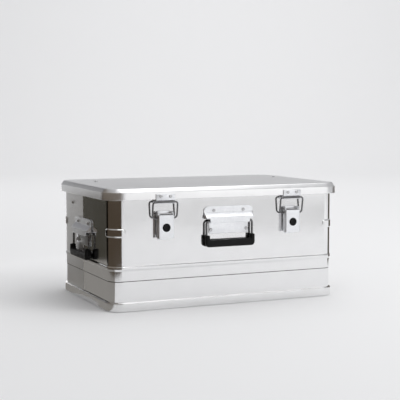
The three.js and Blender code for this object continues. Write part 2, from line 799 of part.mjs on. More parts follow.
function makeBody() {
  const far = 400; // beyond every wall
  const front = box(-far, far, -far, SEAM_Y, -10, 300);
  const rear = box(-far, far, SEAM_Y + GAP, far, -10, 300);
  const { low, high, rise, past } = CORNER_BEAD;
  const beadRing = ring([
    [-0.5, low],
    [0.2, low],
    [rise, low + 4],
    [rise, high - 4],
    [0.2, high],
    [-0.5, high],
  ]);
  const inX = HALF_X - BODY_CORNER - past;
  const inY = HALF_Y - BODY_CORNER - past;
  const cornerBeads = [-1, 1].flatMap((sx) =>
    [-1, 1].map((sy) => {
      const xs = [sx * inX, sx * far].sort((a, b) => a - b);
      const ys = [sy * inY, sy * far].sort((a, b) => a - b);
      return beadRing.intersect(box(...xs, ...ys, 0, 300));
    }),
  );
  const wall = cut(join(ring(wallSection(0, true)), ...cornerBeads), ...wallHoles);
  const tuck = ring(wallSection(SHEET + GAP, false));
  const stepEnd = SEAM_Y + 4;
  const lapTop = WALL_TOP - 9; // below the mouth frame
  const lap = tuck.intersect(box(-far, far, SEAM_Y - LAP, stepEnd, 0, lapTop));
  const joggle = join(ring(wallSection(0, false)), tuck, ring(wallSection(GAP * 2, false)));
  const step = joggle.intersect(box(-far, far, SEAM_Y + GAP, stepEnd, 0, lapTop));
  add(transportCase, "body_front_sheet", wall.intersect(front), sheetMetal);
  add(transportCase, "body_rear_sheet", join(wall.intersect(rear), step, lap), sheetMetal);

  const panOut = -STEP_DEPTH - 2 * (SHEET + GAP);
  const panIn = panOut - SHEET;
  const panFoot = SHEET_FOOT - 0.2;
  const pan = cut(
    block([
      [panOut, panFoot],
      [panOut, PAN_FLANGE],
    ]),
    block([
      [panIn, panFoot + SHEET],
      [panIn, PAN_FLANGE + 1],
    ]),
  );
  add(transportCase, "base_pan", pan, sheetMetal);

  const inside = -STEP_DEPTH + GAP;
  const rim = ring([
    [-RIM_FOOT, 0],
    [RIM_RISE - 2, 0],
    [RIM_RISE, 2],
    [RIM_RISE, RIM_HEIGHT - 2.5],
    [RIM_RISE - 1.8, RIM_HEIGHT],
    [inside, RIM_HEIGHT],
    [inside, 2],
    [-RIM_FOOT, 2],
  ]);
  add(transportCase, "base_rim", rim, rimMetal);

  const frame = ring([
    [GAP, MOUTH.lip],
    [MOUTH.out, MOUTH.lip],
    [MOUTH.out, WALL_TOP + MOUTH.rise],
    [-SHEET - GAP - SHEET, WALL_TOP + MOUTH.rise],
    [-SHEET - GAP - SHEET, MOUTH.insideFoot],
    [-SHEET - GAP, MOUTH.insideFoot],
    [-SHEET - GAP, WALL_TOP + GAP],
    [GAP, WALL_TOP + GAP],
  ]);
  add(transportCase, "mouth_frame", frame, rimMetal);
}

function makeLid() {
  const shoulder = (inset) => [
    [LID_OVERHANG - inset, SKIRT_TOP - inset / 3],
    [LID_OVERHANG - 0.8 - inset, SKIRT_TOP + 3.6 - inset / 2],
    [LID_OVERHANG - 2.8 - inset, SKIRT_TOP + 6.8 - inset * 0.8],
    [LID_OVERHANG - 5.7 - inset, LID_TOP - 0.5 - inset],
    [LID_OVERHANG - 7.5 - inset, LID_TOP - inset],
  ];
  const outer = block([[LID_OVERHANG, SKIRT_FOOT], ...shoulder(0)]);
  const inner = block([[LID_OVERHANG - SHEET, SKIRT_FOOT - 1], ...shoulder(SHEET)]);
  add(transportCase, "lid_panel", cut(outer, inner, ...lidHoles), sheetMetal);

  const outside = LID_OVERHANG - SHEET - GAP;
  const hemTop = SKIRT_FOOT + GAP + SHEET;
  const hem = ring([
    [HEM.inner, SKIRT_FOOT + GAP],
    [outside, SKIRT_FOOT + GAP],
    [outside, HEM.lipTop],
    [outside - HEM.wall, HEM.lipTop],
    [outside - HEM.wall, hemTop],
    [HEM.inner, hemTop],
  ]);
  add(transportCase, "lid_hem", hem, rimMetal);

  const sealFoot = WALL_TOP + MOUTH.rise + GAP;
  const sealTop = LID_TOP - SHEET - GAP;
  const seal = ring([
    [SEAL.inner, sealFoot],
    [SEAL.outer, sealFoot],
    [SEAL.outer, sealTop],
    [SEAL.inner, sealTop],
  ]);
  add(transportCase, "lid_seal", seal, sealRubber);
}

makeHandle(frontWall, "front", HANDLE_AXIS_Z, 1);
makeHandle(leftWall, "left", HANDLE_AXIS_Z - SIDE_HANDLE_DROP, 2);
makeHandle(rightWall, "right", HANDLE_AXIS_Z - SIDE_HANDLE_DROP, 2);
makeLatch("left", -LATCH_X);
makeLatch("right", LATCH_X);
// The rear wall's frame is turned half round, so its x runs the other way
makeHinge("left", HINGE.x);
makeHinge("right", -HINGE.x);
makeStay("left", -1, STAY.leftLidX);
makeStay("right", 1, STAY.rightLidX);
makeBody();
makeLid();

export default transportCase;
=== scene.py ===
"""Looks of the aluminium transport case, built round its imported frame.

The shapes are worked out in millimetres and made in metres. +Z is up and the front faces -Y.
"""
import json
import math
from collections import namedtuple

import bmesh
import bpy
import numpy as np
from mathutils import Matrix, Vector


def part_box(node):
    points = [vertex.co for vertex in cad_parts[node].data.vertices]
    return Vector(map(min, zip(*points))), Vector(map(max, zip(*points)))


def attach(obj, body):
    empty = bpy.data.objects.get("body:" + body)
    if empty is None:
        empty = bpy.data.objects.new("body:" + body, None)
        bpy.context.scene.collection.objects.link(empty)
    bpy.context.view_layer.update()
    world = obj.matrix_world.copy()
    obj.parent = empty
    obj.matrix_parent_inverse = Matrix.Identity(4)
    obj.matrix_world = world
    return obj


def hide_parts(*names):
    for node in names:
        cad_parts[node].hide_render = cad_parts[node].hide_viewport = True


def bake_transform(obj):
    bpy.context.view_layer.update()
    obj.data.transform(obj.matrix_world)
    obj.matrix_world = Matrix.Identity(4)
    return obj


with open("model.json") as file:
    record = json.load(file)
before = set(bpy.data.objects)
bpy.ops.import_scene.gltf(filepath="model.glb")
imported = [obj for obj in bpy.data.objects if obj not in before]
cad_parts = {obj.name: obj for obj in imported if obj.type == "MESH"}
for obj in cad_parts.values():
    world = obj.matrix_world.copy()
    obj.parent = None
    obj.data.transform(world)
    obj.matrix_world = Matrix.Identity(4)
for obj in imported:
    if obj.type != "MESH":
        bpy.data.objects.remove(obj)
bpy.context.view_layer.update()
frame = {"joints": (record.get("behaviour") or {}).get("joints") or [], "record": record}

record = frame["record"]

MM = 0.001
JOINTS = {joint["name"]: joint for joint in frame["joints"]}
SLOT_OF = {part["node"]: part["material_slot"] for part in record["subparts"]}
BODY_OF = {node: body for body, nodes in record["behaviour"]["bodies"].items() for node in nodes}


def corners(node):
    """The lowest and highest corner of a CAD node, in millimetres."""
    low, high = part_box(node)
    return low / MM, high / MM


def centre_of(node):
    """The centre of a CAD node's box, in millimetres."""
    return sum(corners(node), Vector()) / 2


def pivot(joint):
    return Vector(JOINTS[joint]["pos_m"]) / MM


# ---- Driving dimensions, in millimetres ----

FRONT_LOW, FRONT_HIGH = corners("body_front_sheet")
LID_LOW, LID_HIGH = corners("lid_panel")
RIM_HIGH = corners("base_rim")[1]

CORNER = 30.0  # radius of the body's vertical corners, in plan
CORNER_BEAD = {"low": 163.5, "high": 182.5, "rise": 1.8, "past": 3.6, "radius": 6.0, "slope": 2.4}
HALF_X = FRONT_HIGH.x - CORNER_BEAD["rise"]
HALF_Y = -FRONT_LOW.y - CORNER_BEAD["rise"]
WALL_FOOT = FRONT_LOW.z
WALL_TOP = FRONT_HIGH.z
SEAM_Y = FRONT_HIGH.y
SHEET = 1.5
GAP = 0.3
LAP = 20.0  # how far the rear sheet reaches behind the front one
LAP_DROP = {"start": 190.0, "fall": 9.0}  # brings the lap's top below the mouth frame's inner leg
JOGGLE = 1.2  # run over which the rear sheet comes out from behind the front one
STEP_Z = 66.5
STEP_DEPTH = 1.0
CREASE = {"above": 0.3, "half": 1.1, "depth": 0.7}
BEAD_Z = 95.0
BEAD_RISE = 1.6
MOUTH = {"lip": 247.0, "out": 2.0, "inside_foot": 248.0}

LID_OVERHANG = LID_HIGH.x - HALF_X
SKIRT_FOOT = LID_LOW.z
LID_TOP = LID_HIGH.z
SKIRT_LEAN = 0.45  # the skirt's top lies this far inside its foot
LID_PLATE = 1.6  # thickness of the plates riveted to the lid

PLATE_FACE = -2.3  # outer face of a riveted steel plate, measured from its wall
PLATE_BACK = -0.4
HANDLE_RIVETS = [(-36.7, 23.4), (36.7, 23.4), (-44.4, -20.0), (44.4, -20.0)]
LATCH_RIVET_ZS = (170.0, 196.0)


# ---- Points and lines ----

def smooth(t):
    """0 up to t = 0, 1 from t = 1, and a smooth rise between."""
    t = min(max(t, 0.0), 1.0)
    return t * t * (3 - 2 * t)


def spaced(low, high, step):
    """Even values from low to high, about step apart."""
    count = max(1, round((high - low) / step))
    return [low + (high - low) * i / count for i in range(count + 1)]


def fillet(points, radius, steps=5, closed=False):
    """The line through the points with its corners rounded."""
    points = [Vector(p) for p in points]
    made = [] if closed else [points[0]]
    inner = range(len(points)) if closed else range(1, len(points) - 1)
    for i in inner:
        here = points[i]
        back = points[i - 1] - here
        on = points[(i + 1) % len(points)] - here
        angle = back.angle(on)
        if angle > math.radians(178):
            made.append(here)
            continue
        reach = min(radius / math.tan(angle / 2), 0.48 * back.length, 0.48 * on.length)
        real = reach * math.tan(angle / 2)
        middle = (back.normalized() + on.normalized()).normalized()
        centre = here + middle * (real / math.sin(angle / 2))
        first = here + back.normalized() * reach - centre
        last = here + on.normalized() * reach - centre
        turn = first.angle(last)
        for share in (step / steps for step in range(steps + 1)):
            along = first * math.sin((1 - share) * turn) + last * math.sin(share * turn)
            made.append(centre + along / math.sin(turn))
    if not closed:
        made.append(points[-1])
    return made


def divided(points, step):
    """The same line with more points on its straight stretches."""
    made = [Vector(points[0])]
    for start, end in zip(points, points[1:]):
        count = max(1, math.ceil((Vector(end) - Vector(start)).length / step))
        made += [Vector(start).lerp(Vector(end), i / count) for i in range(1, count + 1)]
    return made


def beside(line, distance):
    """The line moved sideways, to the left of its direction if distance is above 0."""
    made = []
    for i, here in enumerate(line):
        back = (here - line[i - 1]).normalized() if i else None
        on = (line[i + 1] - here).normalized() if i + 1 < len(line) else None
        back, on = back or on, on or back
        along = (back + on).normalized()
        stretch = 1 / max(0.3, along.dot(on))
        made.append(here + Vector((-along.y, along.x)) * distance * stretch)
    return made


def curl(start, centre, radius, sweep, steps=18):
    """A line from start onto a circle at its tangent and on round it. The sign of sweep is the turn's."""
    start, centre = Vector(start), Vector(centre)
    off = start - centre
    lean = math.acos(radius / off.length)
    first = math.atan2(off.y, off.x) + math.copysign(lean, sweep)
    angles = [first + sweep * i / steps for i in range(steps + 1)]
    return [start] + [centre + radius * Vector((math.cos(a), math.sin(a))) for a in angles]


# ---- Meshes: a part is its points and faces ----

def combine(*parts):
    points, faces = [], []
    for part_points, part_faces in parts:
        first = len(points)
        points += part_points
        faces += [tuple(first + i for i in face) for face in part_faces]
    return points, faces


def moved(part, offset):
    points, faces = part
    return [Vector(p) + Vector(offset) for p in points], faces


def loft(rows, loops=True, round_trip=False):
    """Faces between neighbouring rows. Each row is a loop, or a line if loops is false."""
    count = len(rows[0])
    points = [Vector(p) for row in rows for p in row]
    faces = []
    across = count if loops else count - 1
    along = len(rows) if round_trip else len(rows) - 1
    for row in range(along):
        here, there = row * count, (row + 1) % len(rows) * count
        for i in range(across):
            j = (i + 1) % count
            faces.append((here + i, here + j, there + j, there + i))
    if loops and not round_trip:
        faces.append(tuple(reversed(range(count))))
        faces.append(tuple(range(along * count, len(points))))
    return points, faces


def thick(rows, thickness):
    """A sheet of one thickness whose outer face is the grid of rows, with the back on its -normal side."""
    grid = np.array([[list(p) for p in row] for row in rows], float)
    down, across = np.gradient(grid, axis=0), np.gradient(grid, axis=1)
    normal = np.cross(down, across)
    normal /= np.linalg.norm(normal, axis=2, keepdims=True)
    back = grid - normal * thickness
    high, wide = grid.shape[:2]
    under = high * wide
    points = [Vector(p) for p in (*grid.reshape(-1, 3), *back.reshape(-1, 3))]
    faces = []
    for corner in (i * wide + j for i in range(high - 1) for j in range(wide - 1)):
        quad = (corner, corner + 1, corner + wide + 1, corner + wide)
        faces += [quad, tuple(under + i for i in reversed(quad))]
    border = list(range(wide)) + [i * wide + wide - 1 for i in range(1, high)]
    border += [under - 1 - j for j in range(1, wide)] + [i * wide for i in range(high - 2, 0, -1)]
    for here, there in zip(border, border[1:] + border[:1]):
        faces.append((there, here, under + here, under + there))
    return points, faces


def rounded_rectangle(half, foot, top, foot_radius, top_radius):
    """A function from an inset to the outline [(x, z)] of a rectangle with rounded corners."""
    def outline(inset):
        made = []
        low, high = foot + inset, top - inset
        wide = half - inset
        for x, z, radius, start in (
            (wide, low, foot_radius, -90),
            (wide, high, top_radius, 0),
            (-wide, high, top_radius, 90),
            (-wide, low, foot_radius, 180),
        ):
            r = max(radius - inset, 0.15)
            cx = x - math.copysign(r, x)
            cz = z + r if z == low else z - r
            for step in range(7):
                a = math.radians(start + step * 15)
                made.append((cx + r * math.cos(a), cz + r * math.sin(a)))
        return made
    return outline


def slab(outline, front, back, edge=0.4, steps=3):
    """A plate in the x-z plane, from y = front to y = back, with rounded edges."""
    quarter = [i / steps * math.pi / 2 for i in range(steps + 1)]
    levels = [(front + edge * (1 - math.sin(a)), edge * (1 - math.cos(a))) for a in reversed(quarter)]
    levels += [(back - edge * (1 - math.sin(a)), edge * (1 - math.cos(a))) for a in quarter]
    return loft([[(x, y, z) for x, z in outline(inset)] for y, inset in levels])


def soften(part, width, segments=2, angle=50):
    """The part with every edge sharper than an angle bevelled."""
    mesh = bmesh.new()
    points = [mesh.verts.new(p) for p in part[0]]
    for face in part[1]:
        mesh.faces.new([points[i] for i in face])
    bmesh.ops.recalc_face_normals(mesh, faces=mesh.faces)
    sharp = [e for e in mesh.edges if e.calc_face_angle(0.0) > math.radians(angle)]
    bmesh.ops.bevel(mesh, geom=sharp, offset=width, segments=segments, profile=0.5,
                    affect="EDGES", clamp_overlap=True)
    mesh.verts.index_update()
    made = [v.co.copy() for v in mesh.verts], [tuple(v.index for v in f.verts) for f in mesh.faces]
    mesh.free()
    return made


def prism(section, x0, x1, edge=0.3):
    """A section [(y, z)] run along X."""
    return soften(loft([[(x, y, z) for y, z in section] for x in (x0, x1)]), edge)


def strip(line, thickness, x0, x1, edge=0.3):
    """Bent sheet metal: a line [(y, z)] given a thickness and run along X."""
    left, right = beside(line, thickness / 2), beside(line, -thickness / 2)
    return prism(left + right[::-1], x0, x1, edge)


def lathe(profile, steps=28, axis="y"):
    """A profile [(radius, height)] turned about an axis, with height along it."""
    rows = []
    for radius, height in profile:
        row = []
        for step in range(steps):
            a = 2 * math.pi * step / steps
            flat = (radius * math.cos(a), radius * math.sin(a))
            row.append((flat[0], height, flat[1]) if axis == "y" else (height, flat[0], flat[1]))
        rows.append(row)
    return loft(rows)


def rod(line, radius, across, sides=20, tip=0.5):
    """A round bar along a flat line; across is the direction square to the line's plane."""
    line = [Vector(p) for p in line]
    first, last = (line[1] - line[0]).normalized(), (line[-1] - line[-2]).normalized()
    stations = [(line[0], 1 - tip / radius), (line[0] + first * tip, 1.0)]
    stations += [(p, 1.0) for p in line[1:-1]]
    stations += [(line[-1] - last * tip, 1.0), (line[-1], 1 - tip / radius)]
    across = Vector(across).normalized()
    rows = []
    for i, (here, share) in enumerate(stations):
        before = stations[max(i - 1, 0)][0]
        after = stations[min(i + 1, len(stations) - 1)][0]
        side = across.cross((after - before).normalized())
        rows.append([
            here + radius * share * (math.cos(a) * side + math.sin(a) * across)
            for a in (2 * math.pi * k / sides for k in range(sides))
        ])
    return loft(rows)


# ---- Plan of the body ----

# Where the plan is sampled: a point on the wall, its outward normal, how far along the wall it is
# from the middle of the nearest corner, and its share of the way along its straight wall
Column = namedtuple("Column", "point normal reach share")


def plan_columns(corner_steps=16, run=20.0, side_marks=()):
    """The columns round the body, anticlockwise from its +X wall at the rear corner."""
    found = []
    centre_x, centre_y = HALF_X - CORNER, HALF_Y - CORNER
    half_arc = CORNER * math.pi / 4
    near_corner = spaced(0.8, 6.4, 0.8)
    for quarter in range(4):
        sign_x = 1 if quarter in (0, 3) else -1
        sign_y = 1 if quarter in (0, 1) else -1
        centre = Vector((sign_x * centre_x, sign_y * centre_y))
        for step in range(corner_steps + 1):
            angle = (quarter + step / corner_steps) * math.pi / 2
            normal = Vector((math.cos(angle), math.sin(angle)))
            reach = abs(2 * step / corner_steps - 1) * half_arc
            found.append(Column(centre + CORNER * normal, normal, reach, 0.0))
        start, normal = found[-1].point, found[-1].normal
        along = Vector((-normal.y, normal.x))
        length = 2 * (centre_x if quarter in (0, 2) else centre_y)
        places = near_corner + spaced(9, length - 9, run) + [length - p for p in near_corner]
        if quarter in (1, 3):
            places = [p for p in places if all(abs((start + along * p).y - y) > 0.4 for y in side_marks)]
            places += [abs(y - start.y) for y in side_marks]
        for place in sorted(places):
            reach = half_arc + min(place, length - place)
            found.append(Column(start + along * place, normal, reach, place / length))
    return found


def at_offset(columns, offset, z):
    """The loop of points at one distance out from the wall, and one height."""
    return [(*(c.point + c.normal * offset), z) for c in columns]


def ring(section):
    """A closed section [(offset, z)] run all round the body."""
    columns = plan_columns(run=60)
    rows = [[(*(c.point + c.normal * offset), z) for offset, z in section] for c in columns]
    return loft(rows, round_trip=True)


# ---- Body and lid sheets ----

def wall_offset(z):
    """How far the wall's outer face stands from its plane at a height."""
    step = smooth((z - STEP_Z + 0.7) / 1.4)
    bead = 1 - smooth((abs(z - BEAD_Z) - 2.0) / 3.4)
    crease = max(0.0, 1 - abs(z - STEP_Z - CREASE["above"]) / CREASE["half"])
    return BEAD_RISE * bead - STEP_DEPTH * (1 - step) - CREASE["depth"] * crease


def corner_bead(column, z):
    """The short wide bead pressed into each vertical corner, with rounded ends."""
    radius = CORNER_BEAD["radius"]
    half_height = (CORNER_BEAD["high"] - CORNER_BEAD["low"]) / 2
    half_length = CORNER * math.pi / 4 + CORNER_BEAD["past"]
    off_x = column.reach - half_length + radius
    off_z = abs(z - CORNER_BEAD["low"] - half_height) - half_height + radius
    outside = math.hypot(max(off_x, 0), max(off_z, 0)) + min(max(off_x, off_z), 0) - radius
    slope = CORNER_BEAD["slope"]
    return CORNER_BEAD["rise"] * (1 - smooth((outside + slope) / slope))


def panel_wave(column, z):
    """The slight unevenness of thin sheet between its beads and corners."""
    if column.share == 0.0:
        return 0.0
    panels = ((20, STEP_Z, 0.30), (STEP_Z, BEAD_Z - 6, 0.16), (BEAD_Z + 6, WALL_TOP - 8, 0.28))
    for low, high, height in panels:
        if low < z < high:
            up = (z - low) / (high - low)
            ends = smooth(column.share * 7) * smooth((1 - column.share) * 7)
            sway = math.sin(9.1 * column.share + 2.3 * up) + 0.6 * math.sin(15.7 * column.share - 3.1 * up)
            return -height * ends * math.sin(math.pi * up) ** 2 * (0.6 + 0.4 * sway)
    return 0.0


def wall_levels():
    low, high = CORNER_BEAD["low"], CORNER_BEAD["high"]
    return (
        [WALL_FOOT] + spaced(WALL_FOOT + 6, STEP_Z - 3, 10) + spaced(STEP_Z - 1.5, STEP_Z + 1.5, 0.3)
        + spaced(STEP_Z + 3, BEAD_Z - 8, 6) + spaced(BEAD_Z - 6.4, BEAD_Z + 6.4, 0.64)
        + spaced(BEAD_Z + 9, low - 3, 10) + spaced(low - 1.2, low + 3.6, 0.6)
        + spaced(low + 5.5, high - 5.5, 4) + spaced(high - 3.6, high + 1.2, 0.6)
        + spaced(high + 4, WALL_TOP - 1, 10) + [WALL_TOP]
    )


def wall_sheet(columns, tuck):
    """A bent sheet along some of the columns. tuck is how far it lies behind its plane at a column."""
    levels = wall_levels()
    rows = []
    for column in columns:
        behind = tuck(column)
        fall = LAP_DROP["fall"] if behind > 1 else 0.0
        outer, inner = [], []
        for z in levels:
            offset = wall_offset(z) + corner_bead(column, z) + panel_wave(column, z) - behind
            height = z - fall * smooth((z - LAP_DROP["start"]) / (WALL_TOP - LAP_DROP["start"]))
            outer.append((*(column.point + column.normal * offset), height))
            inner.append((*(column.point + column.normal * (offset - SHEET)), height))
        rows.append(outer + inner[::-1])
    return soften(loft(rows), 0.25, 1, 70)


def body_sheets():
    # Columns close to the seam keep the shading of its edges narrow
    close = 0.6
    marks = [SEAM_Y - LAP, SEAM_Y - close, SEAM_Y]
    marks += [SEAM_Y + GAP + on for on in spaced(0, JOGGLE + close, 0.3)]
    columns = plan_columns(side_marks=marks)
    front = [c for c in columns if c.point.y <= SEAM_Y + 0.01]
    middle = columns.index(front[0])
    after = columns[middle:] + columns[:middle]
    rear = [c for c in after if c.point.y >= SEAM_Y - LAP - 0.01]
    # Start the rear sheet at its lap in the right wall and end it at its lap in the left wall
    left_lap = [i for i, c in enumerate(rear) if c.normal.x < -0.99 and c.point.y < SEAM_Y]
    rear = rear[left_lap[-1] + 1:] + rear[:left_lap[-1] + 1]
    front_sheet = wall_sheet(front, lambda column: 0.0)
    behind = SHEET + GAP
    tuck = lambda column: behind * (1 - smooth((column.point.y - SEAM_Y - GAP) / JOGGLE))
    return front_sheet, wall_sheet(rear, tuck)


def base_rim():
    """A strip round the foot, with a rounded edge at the ground and a flange under the pan."""
    rise, top = RIM_HIGH.x - HALF_X, RIM_HIGH.z
    inside = GAP - STEP_DEPTH
    foot, floor, rounding = -14, 2, 2.8
    outer = fillet([(foot, 0), (rise, 0), (rise, top), (inside, top)], rounding, 6)
    return ring([Vector((foot, floor))] + outer + [Vector((inside, floor))])


def mouth_frame():
    high = corners("mouth_frame")[1].z
    inner = -2 * SHEET - GAP
    section = [
        (GAP, MOUTH["lip"]), (MOUTH["out"], MOUTH["lip"]), (MOUTH["out"], high), (inner, high),
        (inner, MOUTH["inside_foot"]), (inner + SHEET, MOUTH["inside_foot"]),
        (inner + SHEET, WALL_TOP + GAP), (GAP, WALL_TOP + GAP),
    ]
    return ring(fillet(section, 0.7, 3, closed=True))


def base_pan():
    """A tray: its flange stands inside the walls and its floor closes the case."""
    low, high = corners("base_pan")
    outside = high.x - HALF_X
    line = fillet([(outside, high.z), (outside, low.z), (outside - 8, low.z)], 3.0, 5)
    line = [line[0]] + divided(line[1:-1], 6) + [line[-1]]
    columns = plan_columns(run=60)
    inner = beside(line, -SHEET)
    return loft([at_offset(columns, o, z) for o, z in line[::-1] + inner])


def lid_panel():
    """The skirt, the sloping shoulder and the flat top are one pressing."""
    over = LID_OVERHANG
    shoulder = [(over - SKIRT_LEAN, 261.2), (over - 5.9, 269.4), (over - 7.6, LID_TOP)]
    line = fillet([(over, SKIRT_FOOT), *shoulder, (over - 14, LID_TOP)], 2.4, 6)
    start = [line[0], line[0] + Vector((0, 0.8))]
    line = start + divided(line[1:-1], 9) + [line[-1] + Vector((3, 0)), line[-1]]
    columns = plan_columns(corner_steps=22, run=60)
    inner = beside(line, SHEET)
    return soften(loft([at_offset(columns, o, z) for o, z in inner[::-1] + line]), 0.4, 2, 70)


def lid_hem():
    """An angle inside the foot of the skirt."""
    inner, outside, wall = 3.4, LID_OVERHANG - SHEET - GAP, 1.4
    foot, lip_top = SKIRT_FOOT + GAP, 248.4
    section = [
        (inner, foot), (outside, foot), (outside, lip_top), (outside - wall, lip_top),
        (outside - wall, foot + SHEET), (inner, foot + SHEET),
    ]
    return ring(fillet(section, 0.5, 3, closed=True))


def lid_seal():
    """A strip with a rounded foot, just above the mouth frame when the lid is shut."""
    low, high = corners("lid_seal")
    outer, inner = high.x - HALF_X, high.x - HALF_X - 6
    foot = [(inner, low.z + 3), ((inner + outer) / 2, low.z), (outer, low.z + 3)]
    section = [(inner, high.z), *foot, (outer, high.z)]
    return ring(fillet(section, 2.0, 5, closed=True))


# ---- Rivets ----

def rivet(x, z, face, end):
    """A blind rivet along Y: a domed head with its hollow middle outside face, and its tail at end."""
    head, stem, tail = 3.9, 2.1, 3.0
    profile = [
        (0.4, face - 0.5), (1.25, face - 0.55), (1.4, face - 1.5), (stem, face - 1.75),
        (head - 0.8, face - 1.4), (head - 0.15, face - 0.7), (head, face), (stem, face),
        (stem, end), (tail, end), (tail, end + 1.2), (tail - 1, end + 2.0), (0.5, end + 2.2),
    ]
    return moved(lathe(profile), (x, 0, z))


def rivet_set(places, face, end, backing=None):
    """Rivets at [(x, z)], and the strip inside the sheet that they are closed on."""
    parts = [rivet(x, z, face, end) for x, z in places]
    if backing:
        parts.append(slab(backing, end - 1.5, end, 0.3))
    return combine(*parts)


# ---- Handles, measured from the bail's axis ----

HANDLE = {"end": 61.0, "plate": 48.5, "top": 32.6, "fold": 19.0, "ridge": 8.5, "hood": -12.3, "foot": -4.5}
ARM_X = 57.0
ROD = 2.5
BAR_DROP = 50.5
BAIL_Y = -7.0


def handle_plate():
    """Flange, slope and hood are one pressing; the lower plate lies behind."""
    end, fold, ridge = HANDLE["end"], HANDLE["fold"], HANDLE["ridge"]
    corner = 10.0
    half = [end, end - 0.04, end - 0.2, end - 0.5, end - 1.0, end - 1.6, end - 2.4]
    half += spaced(57.5, 50.5, 1.0) + spaced(50, 48.4, 0.4) + spaced(46, 4, 6)
    xs = [-x for x in half] + [0.0] + half[::-1]
    bends = [(PLATE_FACE, HANDLE["top"]), (PLATE_FACE, fold)]
    bends += [(HANDLE["hood"], ridge), (HANDLE["hood"], HANDLE["foot"])]
    profile = divided(fillet(bends, 2.2, 6), 3)

    def at(x, y, z):
        reach = abs(x)
        over = max(0.0, reach - end + corner)
        top = HANDLE["top"] - corner + math.sqrt(max(corner * corner - over * over, 0.0))
        foot = HANDLE["foot"] + 9.6 * smooth((reach - 48.4) / 1.6)
        cheek = math.sqrt(max(0.0, 1 - (max(0.0, reach - end + 2.4) / 2.4) ** 2))
        if z > fold:
            z = fold + (z - fold) * (top - fold) / (HANDLE["top"] - fold)
        if z < ridge:
            z = ridge - (ridge - z) * (ridge - foot) / (ridge - HANDLE["foot"])
        return x, PLATE_FACE + (y - PLATE_FACE) * cheek, z

    rows = [[at(x, y, z) for x in xs] for y, z in profile]
    hood = soften(thick(rows, 1.7), 0.3, 2, 60)
    lower = slab(rounded_rectangle(HANDLE["plate"], -29, 7, 3, 1), PLATE_FACE, PLATE_BACK)
    return combine(hood, lower)


def bail_line():
    corner_points = [(-41, 0), (-ARM_X, 0), (-ARM_X, -BAR_DROP), (ARM_X, -BAR_DROP), (ARM_X, 0), (41, 0)]
    return [(x, BAIL_Y, z) for x, z in fillet(corner_points, 7.5, 8)]


def grip_outline(inset):
    """The U of the moulded grip: two short arms and the bar between them."""
    out, within, top, bar, foot = 61 - inset, 51 + inset, -32 - inset, -42.5 - inset, -58.5 + inset
    outer_radius, inner_radius, tip = 12.5 - inset, 3.5 + inset, max(2.5 - inset, 0.3)
    middle = (out + within) / 2
    outer = fillet([(-middle, top), (-out, top), (-out, top - 8)], tip, 4)
    outer += fillet([(-out, top - 9), (-out, foot), (out, foot), (out, top - 9)], outer_radius, 9)
    outer += fillet([(out, top - 8), (out, top), (middle, top)], tip, 4)
    below = top - 4.5
    inner = fillet([(middle - 0.1, top), (within, top), (within, top - 4)], tip, 4)
    inner += fillet([(within, below), (within, bar), (-within, bar), (-within, below)], inner_radius, 6)
    inner += fillet([(-within, top - 4), (-within, top), (-middle - 0.1, top)], tip, 4)
    return outer + inner


def make_handle(side, wall, turn_z):
    local = wall @ Matrix.Translation((0, 0, turn_z))
    make(f"{side}_handle_plate", handle_plate(), local)
    backing = rounded_rectangle(50, -26, 29.6, 6, 6)
    inside = 3.3 if side == "front" else 5.1
    make(f"{side}_handle_rivets", rivet_set(HANDLE_RIVETS, PLATE_FACE - 0.05, inside, backing), local)
    make(f"{side}_handle_bail", rod(bail_line(), ROD, (0, 1, 0)), local)
    make(f"{side}_handle_grip", slab(grip_outline, -16.5, -2.5, 4.2, 6), local)


# ---- Latches ----

LEVER = {"half": 18.5, "front": 18.0, "back": 3.2, "foot": 159.0, "top": 210.5, "wall": 1.6}
LATCH_BASE = {"half": 16.2, "foot": 163.0, "top": 219.0, "ear_foot": 206.5, "ear": 1.8}
LATCH_TONGUE = {"half": 12.5, "foot": 155.0, "top": 172.0}
PLUG_Z = 183.0
CATCH = {"half": 22.5, "top": 257.0, "bend": 244.5, "foot": 235.7, "web": -8.6, "hook": -14.4}
CATCH_RIVETS = {"xs": (-11.3, 11.3), "z": 251.6}


def latch_base():
    """A plate with an ear on each side for the pin, and a tongue below."""
    half, foot, top = LATCH_BASE["half"], LATCH_BASE["foot"], LATCH_BASE["top"]
    axis = pivot("left_lever_pivot")
    out, z = axis.y + HALF_Y, axis.z
    ear = [(PLATE_FACE + 1, top), (out, z + 4.6), (out - 4.4, z + 3)]
    ear += [(out - 4.4, z - 3), (out, z - 4.6), (PLATE_FACE + 1, LATCH_BASE["ear_foot"])]
    ear = fillet(ear, 2.2, 5, closed=True)
    tongue = rounded_rectangle(LATCH_TONGUE["half"], LATCH_TONGUE["foot"], LATCH_TONGUE["top"], 4, 1)
    return combine(
        slab(rounded_rectangle(half, foot, top, 1, 3), PLATE_FACE, PLATE_BACK),
        slab(tongue, PLATE_FACE + 0.1, PLATE_BACK),
        prism(ear, -half, LATCH_BASE["ear"] - half),
        prism(ear, half - LATCH_BASE["ear"], half),
    )


